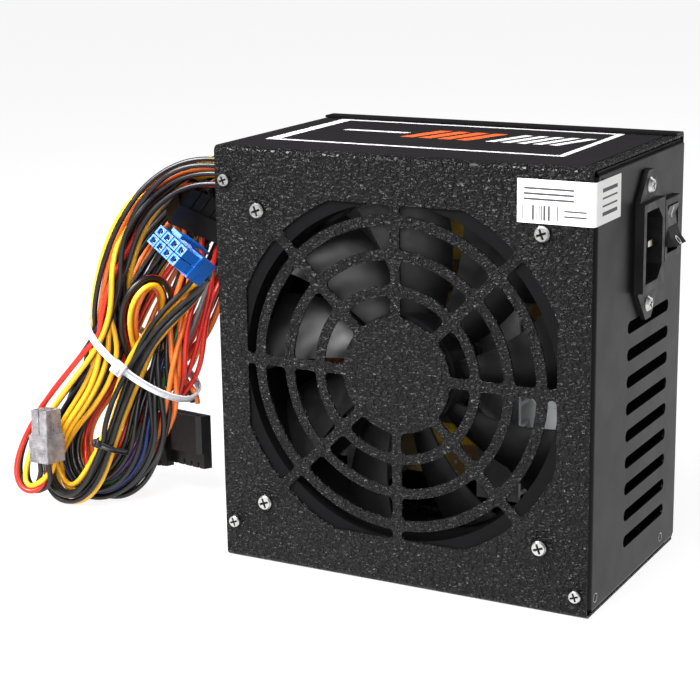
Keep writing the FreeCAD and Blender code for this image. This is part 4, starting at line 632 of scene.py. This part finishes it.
class Cable:
    """A bundle of wires round one route, with the pin that each wire runs to."""

    def __init__(
        self, name, route, radius, loose, limit, wires, turn, end, start=None, tail=0, head=0, sag=None
    ):
        self.name = name
        self.limit = limit
        self.tail = tail
        self.head = head
        place, pins, reach = end
        sagged = [np.add(point, (sag or {}).get(k, 0)) for k, point in enumerate(route)]
        line, course = centreline(route), centreline(sagged)
        if reach:
            extra = [np.array(place.at(0, 0, z)) for z in reach]
            line, course = (evenly(np.vstack([found, extra]), STEP) for found in (line, course))
        self.line = line
        count = len(line)
        course = evenly(course, STEP, count)
        tangent = unit(np.gradient(line, axis=0))
        viewer = np.array(VIEWER)
        front = unit(viewer - tangent * (tangent @ viewer)[:, None])
        side = np.cross(tangent, front)
        wander = 0.0004 + 0.25 * loose if loose < 0.004 else 0.55 * loose
        self.paths = []
        self.colours = [w[0] for w in wires]
        for k, (_, u, w) in enumerate(wires):
            path = np.zeros((count, 3))
            for i in range(count):
                share = i / (count - 1)
                free = smooth((BUNDLED_TO - line[i][0]) / LOOSENING)
                size = radius + (loose - radius) * free
                angle = turn(share)
                a = u * math.cos(angle) - w * math.sin(angle)
                b = u * math.sin(angle) + w * math.cos(angle)
                seed = Vector((share * len(line) * STEP / DRIFT_LENGTH, 7.3 * k + 0.37 * len(name), 1.7))
                drift = noise.noise_vector(seed) * (wander * free)
                path[i] = course[i] + side[i] * (a * size + drift.x) + front[i] * (b * size + drift.y)
            self.paths.append(path)
        self.fan_out(place, pins, count, False)
        if start:
            self.fan_out(start[0], start[1], count, True)

    def fan_out(self, place, pins, count, first):
        """Leads the last stretch of each wire into its entry in the housing."""
        for path, (x, y) in zip(self.paths, pins):
            for k in range(LEAD_IN + 1):
                i = k if first else count - 1 - k
                depth = place.local(self.line[i][None])[0][2]
                goal = np.array(place.at(x, y, min(depth, ENTRY_DEPTH)))
                share = smooth(1 - k / LEAD_IN)
                path[i] = path[i] * (1 - share) + goal * share

    def limits(self):
        """How far each sample of a wire may be from the line. The parted ends are free."""
        found = np.full(len(self.line), self.limit)
        found[: self.head] = 1.0
        found[len(found) - self.tail :] = 1.0
        return found


def disc(count):
    """Evenly scattered (u, w) places in the unit disc."""
    polar = [(math.sqrt((k + 0.5) / count), k * GOLDEN) for k in range(count)]
    return [(far * math.cos(angle), far * math.sin(angle)) for far, angle in polar]


def half_turns(*spans):
    """Turn of the bundle about its line: a half turn over each (first, last) span of shares."""
    return lambda share: math.pi * sum(smooth((share - first) / (last - first)) for first, last in spans)


MAIN_ROWS = (
    (
        "orange", "orange", "black", "red", "black", "red",
        "black", "grey", "purple", "yellow", "yellow", "orange",
    ),
    (
        "orange", "blue", "black", "green", "black", "black",
        "black", None, "red", "red", "red", "black",
    ),
)
LAYERS = (("purple", "grey", "green", "blue"), ("black",), ("orange", "red", "yellow"))


def main_wires():
    """The 23 wires of the main cable: signal wires inside, black ones ahead, bright ones behind."""
    pins = [
        (colour, (column - 5.5) * PITCH, (row - 0.5) * PITCH)
        for row, colours in enumerate(MAIN_ROWS)
        for column, colour in enumerate(colours)
        if colour
    ]
    core, ahead, behind = ([p for p in pins if p[0] in layer] for layer in LAYERS)
    spots = disc(len(pins))
    outer = sorted(spots[len(core) :], key=lambda s: s[1] + 0.5 * s[0])
    wires, ends = [], []
    for group, places in ((core, spots), (behind, outer), (ahead, outer[len(behind) :])):
        ordered = sorted(places[: len(group)], key=lambda s: s[0], reverse=True)
        for (colour, x, y), (u, w) in zip(sorted(group, key=lambda p: p[1]), ordered):
            wires.append((colour, u, w))
            ends.append((x, y))
    return wires, ends


MAIN_ROUTE = [
    (-0.062, 0.0105, 0.1222), (-0.083, 0.017, 0.127), (-0.106, 0.0225, 0.125),
    (-0.122, 0.020, 0.112), (-0.133, 0.014, 0.097), (-0.139, 0.007, 0.081),
    (-0.143, 0, 0.067), (-0.152, -0.003, 0.050), (-0.164, -0.005, 0.035),
    (-0.167, -0.008, 0.020), (-0.157, -0.010, 0.008), (-0.143, -0.009, 0.008),
    (-0.132, -0.006, 0.018), (-0.125, -0.003, 0.036), (-0.1195, 0.0015, 0.054),
    (-0.115, 0.008, 0.074), (-0.111, 0.0158, 0.0931),
]
PROCESSOR_ROUTE = [
    (-0.062, 0.0085, 0.1348), (-0.083, 0.008, 0.1348), (-0.105, 0.004, 0.134),
    (-0.120, 0, 0.125), (-0.131, -0.004, 0.111), (-0.137, -0.007, 0.095),
    (-0.138, -0.010, 0.078), (-0.140, -0.013, 0.060), (-0.149, -0.016, 0.044),
    (-0.161, -0.018, 0.031), (-0.167, -0.020, 0.018), (-0.161, -0.023, 0.007),
    (-0.148, -0.025, 0.006), (-0.139, -0.024, 0.016), (-0.134, -0.018, 0.034),
    (-0.131, -0.010, 0.054), (-0.123, -0.008, 0.069), (-0.114, -0.003, 0.079),
    (-0.106, 0.002, 0.086), (-0.1015, -0.002, 0.094), (-0.1015, -0.0096, 0.0985),
]
# How far the loose wires lie from their cable's line, by control point: into the loop and down
MAIN_SAG = {
    7: (0.0035, 0, 0), 8: (0.006, 0, 0), 9: (0, 0, -0.002), 10: (-0.002, -0.002, -0.0045),
    11: (0, -0.003, -0.0045), 12: (-0.002, -0.001, -0.002), 13: (-0.002, 0, 0), 14: (-0.001, 0, 0),
}
PROCESSOR_SAG = {
    7: (0.001, 0, 0), 8: (0.003, 0, 0), 9: (0.005, 0, 0), 10: (0.001, 0, -0.001),
    11: (-0.001, -0.001, -0.004), 12: (0, -0.001, -0.0035), 13: (-0.001, 0, -0.002), 14: (-0.002, 0, 0),
}
PERIPHERAL_ROUTE = [
    (-0.062, 0.0015, 0.1255), (-0.082, -0.001, 0.129), (-0.103, -0.003, 0.131),
    (-0.118, -0.007, 0.123), (-0.128, -0.012, 0.110), (-0.132, -0.015, 0.094),
    (-0.136, -0.017, 0.078), (-0.1425, -0.0165, 0.065), (-0.152, -0.020, 0.053),
    (-0.162, -0.021, 0.042), (-0.170, -0.024, 0.029), (-0.1726, -0.030, 0.018),
    (-0.1726, -0.0325, 0.0095), (-0.1686, -0.0335, 0.0052), (-0.163, -0.0335, 0.0052),
    (-0.159, -0.0325, 0.0092), (-0.1585, -0.0312, 0.0145), (-0.1585, -0.031, 0.019),
]
SATA_ROUTE = [
    (-0.062, 0.002, 0.1315), (-0.083, 0.0016, 0.1328), (-0.104, -0.004, 0.136),
    (-0.119, -0.008, 0.128), (-0.130, -0.012, 0.115), (-0.137, -0.014, 0.099),
    (-0.141, -0.015, 0.083), (-0.145, -0.013, 0.068), (-0.146, -0.010, 0.054),
    (-0.147, -0.004, 0.044), (-0.148, 0.005, 0.042), (-0.1482, 0.0135, 0.0375),
    (-0.1483, 0.0161, 0.0288),
]
LINK_ROUTE = [
    (-0.1387, 0.0139, 0.0302), (-0.140, 0.008, 0.041), (-0.135, -0.002, 0.055),
    (-0.132, -0.011, 0.069), (-0.129, -0.016, 0.081), (-0.124, -0.012, 0.091),
    (-0.121, -0.002, 0.091), (-0.123, 0.005, 0.079), (-0.128, 0.008, 0.063),
    (-0.126, 0.011, 0.048), (-0.1215, 0.0115, 0.037),
]


def drive_pins(row):
    return [((k - 2) * 0.0036, row) for k in range(5)]


def ring_wires(colours, first=0.0):
    """Wires spaced round a ring, the first one at that angle."""
    count = len(colours)
    turn = 2 * math.pi / count
    return [
        (colour, 0.9 * math.cos(first + turn * k), 0.9 * math.sin(first + turn * k))
        for k, colour in enumerate(colours)
    ]


def grid_pins(columns):
    return [((c - (columns - 1) / 2) * PITCH, (r - 0.5) * PITCH) for r in range(2) for c in range(columns)]


def make_cables():
    wires, ends = main_wires()
    main = Cable(
        "main", MAIN_ROUTE, 0.0058, 0.0094, 0.00985, wires, half_turns((0.70, 0.90)),
        (MAIN, ends, (-0.006, 0.0, 0.003)), tail=7, sag=MAIN_SAG,
    )
    spots = sorted(disc(8), key=lambda s: s[1])
    processor = Cable(
        "processor", PROCESSOR_ROUTE, 0.0031, 0.0052, 0.0059,
        [("yellow" if k < 4 else "black", *spots[k]) for k in range(8)],
        half_turns((0.31, 0.40), (0.50, 0.60)),
        (PROCESSOR, grid_pins(4), (0.003,)), tail=4, sag=PROCESSOR_SAG,
    )
    peripheral = Cable(
        "peripheral", PERIPHERAL_ROUTE, 0.0017, 0.0031, 0.0040,
        [("black", 0.65, 0.7), ("black", -0.65, 0.7), ("red", -0.65, -0.7), ("yellow", 0.65, -0.7)],
        half_turns((0.34, 0.5)),
        (SMALL, grid_pins(2), (0.0035,)),
    )
    sata = Cable(
        "sata", SATA_ROUTE, 0.0018, 0.0031, 0.0040,
        [
            ("yellow", 0.95, -0.1), ("black", 0.6, 0.75), ("black", -0.75, 0.5),
            ("red", 0.17, -0.94), ("orange", -0.1, -0.3),
        ],
        lambda share: 1.1 * (smooth((share - 0.28) / 0.16) - 1),
        (SATA, drive_pins(-0.0009), None), tail=4,
    )
    link = Cable(
        "link", LINK_ROUTE, 0.0018, 0.0031, 0.0040,
        ring_wires(("yellow", "black", "red", "black", "orange"), 1.2), lambda share: 0.0,
        (LINK, drive_pins(0.0), None), (SATA, drive_pins(0.0009)), tail=4, head=4,
    )
    return main, processor, peripheral, sata, link


noise.seed_set(WIRE_SEED)
CABLES = make_cables()


def settle(cables, rounds=70):
    """Pushes wires apart until they lie beside each other, inside ties and outside housings."""
    points = np.vstack([p for c in cables for p in c.paths])
    centres = np.vstack([c.line for c in cables for _ in c.paths])
    limits = np.concatenate([c.limits() for c in cables for _ in c.paths])
    wire = np.concatenate([np.full(len(p), k) for k, p in enumerate(p for c in cables for p in c.paths)])
    index = np.concatenate([np.arange(len(p)) for c in cables for p in c.paths])
    last = np.concatenate([np.full(len(p), len(p) - 1) for c in cables for p in c.paths])
    fixed = (index < 3) | (index > last - 4)
    inner = (index > 0) & (index < last)
    goal = points.copy()
    apart = 2 * WIRE_RADIUS + 0.00008
    low = np.array(cad_box[0]) + WIRE_RADIUS + 0.0002
    low[2] = WIRE_RADIUS + 0.0003
    pairs = None
    for turn in range(rounds):
        if turn % 4 == 0:
            square = (points**2).sum(axis=1)
            near = square[:, None] + square[None, :] - 2 * points @ points.T
            a, b = np.nonzero(np.triu(near < (apart + 0.0022) ** 2, 1))
            other = (wire[a] != wire[b]) | (np.abs(index[a] - index[b]) > 5)
            pairs = a[other], b[other]
        a, b = pairs
        gap = points[b] - points[a]
        length = np.maximum(np.linalg.norm(gap, axis=1), 1e-7)
        short = np.clip(apart - length, 0, None)
        push = gap / length[:, None] * (short * 0.5)[:, None]
        move = np.zeros_like(points)
        hits = np.zeros(len(points))
        np.add.at(move, b, push)
        np.add.at(move, a, -push)
        np.add.at(hits, b, short > 0)
        np.add.at(hits, a, short > 0)
        points += np.where(fixed[:, None], 0, move / np.maximum(hits, 1)[:, None] * 1.3)
        free = np.nonzero(inner & ~fixed)[0]
        if turn < rounds - 4:
            middle = (points[free - 1] + points[free + 1]) / 2
            points[free] += 0.28 * (middle - points[free]) + 0.025 * (goal[free] - points[free])
        for tie, (major, minor), half, size in TIES:
            here = tie.local(points)
            reach = np.hypot(here[:, 0] / (major - WIRE_RADIUS), here[:, 1] / (minor - WIRE_RADIUS))
            caught = (np.abs(here[:, 2]) < half) & (reach > 1) & (reach < size) & ~fixed
            inward = here.copy()
            inward[:, :2] /= np.maximum(reach, 1)[:, None]
            axes = np.array([tie.x, tie.y, tie.z])
            points[caught] = inward[caught] @ axes + np.array(tie.origin)
        for place, half_x, half_y, long in HOUSINGS:
            here = place.local(points)
            inside = np.stack(
                [half_x + WIRE_RADIUS - np.abs(here[:, 0]), half_y + WIRE_RADIUS - np.abs(here[:, 1])], axis=1
            )
            caught = (inside > 0).all(axis=1) & (here[:, 2] > -0.0003) & (here[:, 2] < long + 0.001) & ~fixed
            for i in np.nonzero(caught)[0]:
                axis = int(np.argmin(inside[i]))
                way = np.array((place.x, place.y)[axis]) * (1 if here[i, axis] >= 0 else -1)
                points[i] += way * inside[i, axis]
        away = points - centres
        distance = np.linalg.norm(away, axis=1)
        far = distance > limits
        points[far] = centres[far] + away[far] / distance[far][:, None] * limits[far][:, None]
        points[~fixed] = np.maximum(points[~fixed], low)
    start = 0
    for cable in cables:
        for k, path in enumerate(cable.paths):
            cable.paths[k] = points[start : start + len(path)]
            start += len(path)


settle(CABLES)


def denser(points):
    """Catmull-Rom points halfway between each pair."""
    padded = np.vstack([2 * points[0] - points[1], points, 2 * points[-1] - points[-2]])
    middle = (9 * (padded[1:-2] + padded[2:-1]) - padded[:-3] - padded[3:]) / 16
    out = np.zeros((len(points) * 2 - 1, 3))
    out[::2] = points
    out[1::2] = middle
    return out


class TubeMesh:
    """Collects round tubes in one mesh, each with its own material."""

    def __init__(self, name, sides=10):
        self.name = name
        self.sides = sides
        self.verts = []
        self.faces = []
        self.slots = []
        self.materials = []

    def tube(self, points, radius, material):
        points = np.asarray(points)
        if material not in self.materials:
            self.materials.append(material)
        slot = self.materials.index(material)
        tangent = unit(np.gradient(points, axis=0))
        normal = np.cross(tangent[0], (0.31, 0.71, 0.63))
        base = len(self.verts)
        sides = self.sides
        for point, way in zip(points, tangent):
            normal = normal - way * (normal @ way)
            normal /= np.linalg.norm(normal)
            other = np.cross(way, normal)
            for k in range(sides):
                a = 2 * math.pi * k / sides
                self.verts.append(point + radius * (normal * math.cos(a) + other * math.sin(a)))
        for i in range(len(points) - 1):
            for k in range(sides):
                a, b = base + i * sides + k, base + i * sides + (k + 1) % sides
                self.faces.append((a, b, b + sides, a + sides))
                self.slots.append(slot)
        top = base + (len(points) - 1) * sides
        self.faces.append(tuple(range(base + sides - 1, base - 1, -1)))
        self.faces.append(tuple(range(top, top + sides)))
        self.slots += [slot, slot]

    def make(self):
        data = bpy.data.meshes.new(self.name)
        data.from_pydata([tuple(v) for v in self.verts], [], self.faces)
        for material in self.materials:
            data.materials.append(material)
        data.polygons.foreach_set("material_index", self.slots)
        data.polygons.foreach_set("use_smooth", [len(f) == 4 for f in self.faces])
        data.update()
        item = add_object(self.name, data)
        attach(item, ROOT)
        return item


def cable_pieces(cable):
    """Mesh of a cable's wires, and of the stretches at its ends where they part."""
    tail, head = cable.tail, cable.head
    body = TubeMesh(cable.name + "_wires")
    ends = TubeMesh(cable.name + "_wire_ends")
    last = len(cable.line) - 1
    for path, colour in zip(cable.paths, cable.colours):
        fine = denser(path)
        material = WIRES[colour]
        cut_low, cut_high = 2 * head, 2 * (last - tail)
        body.tube(fine[cut_low : cut_high + 1], WIRE_RADIUS, material)
        if tail:
            ends.tube(fine[cut_high:], WIRE_RADIUS, material)
        if head:
            ends.tube(fine[: cut_low + 1], WIRE_RADIUS, material)
    made = body.make()
    parted = []
    if tail or head:
        parted.append(ends.make())
    return made, parted, cable.line[head : last - tail + 1]


TINNED = metal("tinned_contacts", (0.42, 0.44, 0.44), 0.36, (1, 6, 1), 0.0004)


def add_tube(bm, place, x, y, near, far, outer, inner):
    """Square tube along the place's Z, closed at its near end, with bevelled lips at the far end."""
    back, lip, bevel = 0.0006, 0.0002, 0.00015
    rings = []
    for half, z in (
        (outer, near), (outer, far - lip), (outer - bevel, far), (inner, far), (inner, near + back)
    ):
        corners = ((-half, -half), (half, -half), (half, half), (-half, half))
        rings.append([bm.verts.new(place.at(x + dx, y + dy, z)) for dx, dy in corners])
    for a, b in zip(rings, rings[1:]):
        for k in range(4):
            bm.faces.new((a[k], a[(k + 1) % 4], b[(k + 1) % 4], b[k]))
    bm.faces.new(rings[0][::-1])
    bm.faces.new(rings[-1])


def finish_mesh(bm, name):
    """Ends a bmesh as a new object of the scene."""
    bmesh.ops.recalc_face_normals(bm, faces=bm.faces)
    data = bpy.data.meshes.new(name)
    bm.to_mesh(data)
    bm.free()
    return add_object(name, data)


def contacts(name, place, columns, length):
    """Tinned crimp contacts seen down the sockets of a housing."""
    bm = bmesh.new()
    for x, y in grid_pins(columns):
        add_tube(bm, place, x, y, 0.5 * length, length - 0.0012, 0.00098, 0.00070)
    item = finish_mesh(bm, name)
    item.data.materials.append(TINNED)
    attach(item, ROOT)
    return item


MAIN_CABLE, PROCESSOR_CABLE, PERIPHERAL_CABLE, SATA_CABLE, LINK_CABLE = CABLES


def declare_cables():
    wires, ends, line = cable_pieces(MAIN_CABLE)
    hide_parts("main_cable")
    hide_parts("main_cable_spread")
    contacts("main_contacts", MAIN, 12, 0.0170)
    wires, ends, line = cable_pieces(PROCESSOR_CABLE)
    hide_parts("processor_cable")
    contacts("processor_contacts", PROCESSOR, 4, 0.0196)
    wires, _, line = cable_pieces(PERIPHERAL_CABLE)
    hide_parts("peripheral_cable")
    contacts("peripheral_contacts", SMALL, 2, 0.0205)
    wires, ends, line = cable_pieces(SATA_CABLE)
    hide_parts("sata_cable")
    wires, ends, line = cable_pieces(LINK_CABLE)
    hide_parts("link_cable")


declare_cables()


# --- Cable ties ---


def strap_points(place, major, minor, slack, thick, count=72):
    """Loop of a strap: the tie's oval, pushed out wherever wires crossing its plane need room."""
    found = []
    for cable in CABLES:
        for path in cable.paths:
            here = place.local(denser(path))
            crossing = here[(np.abs(here[:, 2]) < 0.002) & (np.hypot(here[:, 0], here[:, 1]) < slack)]
            found.extend(crossing[:, :2])
    found = np.array(found)
    angles = np.arange(count) * 2 * math.pi / count
    loop = np.stack([major * np.cos(angles), minor * np.sin(angles)], axis=1)
    ways = unit(loop / np.array([major, minor]) ** 2)
    need = (found @ ways.T).max(axis=0) + WIRE_RADIUS + 0.0002
    have = (loop * ways).sum(axis=1)
    loop = loop + ways * (np.maximum(need - have, 0) + thick / 2)[:, None]
    for _ in range(4):
        loop = 0.5 * loop + 0.25 * (np.roll(loop, 1, axis=0) + np.roll(loop, -1, axis=0))
    return loop, ways, count


def add_block(bm, size, matrix, offset, segments, profile):
    """Block with bevelled edges."""
    verts = bmesh.ops.create_cube(bm, size=1.0)["verts"]
    bmesh.ops.scale(bm, vec=size, verts=verts)
    bmesh.ops.transform(bm, matrix=matrix, verts=verts)
    edges = list(dict.fromkeys(e for v in verts for e in v.link_edges))
    bmesh.ops.bevel(
        bm, geom=edges, offset=offset, segments=segments, affect="EDGES", profile=profile
    )


def make_tie(name, node, place, axes, slack, width, thick, head_angle, head):
    """Strap with rounded edges and fine teeth, pulled through a bevelled ratchet head."""
    loop, ways, count = strap_points(place, *axes, slack, thick)
    section = []
    half, rim = width / 2, thick * 0.32
    for sx, sz in ((1, -1), (1, 1), (-1, 1), (-1, -1)):
        for first in (True, False):
            near = first == (sx * sz < 0)
            section.append(
                (sx * (thick / 2 - (0 if near else rim)), sz * (half - (rim if near else 0)))
            )
    bm = bmesh.new()
    rings = []
    for k in range(count):
        tooth = 0.06 * thick if k % 2 else 0.0
        ring = []
        for off, z in section:
            p = loop[k] + ways[k] * (off + (tooth if off > 0 else 0))
            ring.append(bm.verts.new(place.at(p[0], p[1], z)))
        rings.append(ring)
    sides = len(section)
    for k in range(count):
        a, b = rings[k], rings[(k + 1) % count]
        for s in range(sides):
            bm.faces.new((a[s], a[(s + 1) % sides], b[(s + 1) % sides], b[s]))
    k = int(round(head_angle / (2 * math.pi) * count)) % count
    out = Vector((*ways[k], 0))
    side = Vector((-out.y, out.x, 0))
    middle = Vector((*loop[k], 0)) + out * (head[1] / 2 - thick / 2)
    frame_rows = [place.x * v.x + place.y * v.y for v in (side, out)]
    centre = place.at(middle.x, middle.y, 0)
    matrix = Matrix((frame_rows[0], frame_rows[1], place.z)).transposed().to_4x4()
    matrix.translation = centre
    add_block(bm, head, matrix, 0.0006, 3, 0.6)
    shift = Matrix.Translation(Vector((head[0] * 0.12, head[1] * 0.55, 0)))
    add_block(bm, (thick, head[1] * 0.5, width * 0.86), matrix @ shift, 0.00025, 2, 0)
    item = finish_mesh(bm, name)
    for polygon in item.data.polygons:
        polygon.use_smooth = True
    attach(item, ROOT)
    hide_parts(node)
    return item


def make_ties():
    white = make_tie(
        "large_strap", "harness_tie", LARGE_TIE, LARGE_OVAL, 0.040, 0.0030, 0.0011,
        math.radians(265), (0.0050, 0.0040, 0.0044),
    )
    white.data.materials.append(milky_nylon("strap_nylon", (0.64, 0.65, 0.68), 0.35))
    black = make_tie(
        "small_strap", "cable_tie", SMALL_TIE, SMALL_OVAL, 0.0075, 0.0022, 0.0009,
        math.radians(265), (0.0032, 0.0026, 0.0030),
    )
    black.data.materials.append(moulded("strap_black", (0.012, 0.012, 0.012), 0.4))


make_ties()


# --- Surroundings and light ---


def area_light(name, place, target, size, power):
    data = bpy.data.lights.new(name, "AREA")
    data.shape = "RECTANGLE"
    data.size, data.size_y = size
    data.energy = power
    item = add_object(name, data)
    item.location = place
    item.rotation_mode = "QUATERNION"
    item.rotation_quaternion = (Vector(target) - Vector(place)).to_track_quat("-Z", "Y")


def make_world():
    """White behind the object, and dimmer surroundings that are darkest at the back."""
    world = bpy.data.worlds.new("studio")
    bpy.context.scene.world = world
    world.use_nodes = True
    tree = world.node_tree
    way = tree.nodes.new("ShaderNodeTexCoord")
    split = tree.nodes.new("ShaderNodeSeparateXYZ")
    tree.links.new(way.outputs["Generated"], split.inputs[0])
    level = tree.nodes.new("ShaderNodeMapRange")
    level.interpolation_type = "SMOOTHSTEP"
    for key, number in (("From Min", -0.7), ("From Max", 0.35), ("To Min", 0.50), ("To Max", 0.08)):
        level.inputs[key].default_value = number
    tree.links.new(split.outputs[1], level.inputs[0])
    backdrop = tree.nodes["Background"]
    backdrop.inputs["Color"].default_value = (1, 1, 1, 1)
    surround = tree.nodes.new("ShaderNodeBackground")
    surround.inputs["Color"].default_value = (1.0, 0.95, 1.0, 1)
    tree.links.new(level.outputs[0], surround.inputs["Strength"])
    rays = tree.nodes.new("ShaderNodeLightPath")
    both = tree.nodes.new("ShaderNodeMixShader")
    tree.links.new(rays.outputs["Is Camera Ray"], both.inputs[0])
    tree.links.new(surround.outputs[0], both.inputs[1])
    tree.links.new(backdrop.outputs[0], both.inputs[2])
    tree.links.new(both.outputs[0], tree.nodes["World Output"].inputs[0])


def make_floor():
    """Pale floor that glows as painted light, less bright in front of the object so that its front stays
    dark.
    """
    reach, level = 6.0, -0.0003
    data = bpy.data.meshes.new("floor")
    around = ((-1, -1), (1, -1), (1, 1), (-1, 1))
    corners = [(x * reach, y * reach, level) for x, y in around]
    data.from_pydata(corners, [], [(0, 1, 2, 3)])
    floor = add_object("floor", data)
    shade = Shade("floor_paper", 0.9, 0.0, 0.1)
    shade.colour(shade.mix(shade.noise(0.3, 2), (0.18, 0.18, 0.18), (0.22, 0.22, 0.22)))
    # Painted light: the floor glows by its own emission though it is no lamp, dimmer in front of the object
    shade.shader.inputs["Emission Color"].default_value = (1, 1, 1, 1)
    painted_floor_glow = shade.remap(shade.axes()[1], -0.42, -0.12, 0.45, 0.88)
    shade.link(painted_floor_glow, shade.shader.inputs["Emission Strength"])
    data.materials.append(shade.material)


def make_studio():
    make_world()
    make_floor()
    area_light("key", (-0.32, -0.50, 0.60), (-0.03, 0, 0.12), (0.36, 0.36), 7)
    area_light("over", (-0.14, -0.24, 0.44), (-0.03, -0.04, 0.12), (0.5, 0.16), 5)
    area_light("rim", (0.3, 0.9, 0.9), (0, 0, 0.1), (0.8, 0.5), 3)
    area_light("front", (0.55, -1.1, 0.45), (-0.05, 0, 0.07), (0.6, 0.6), 7)


make_studio()
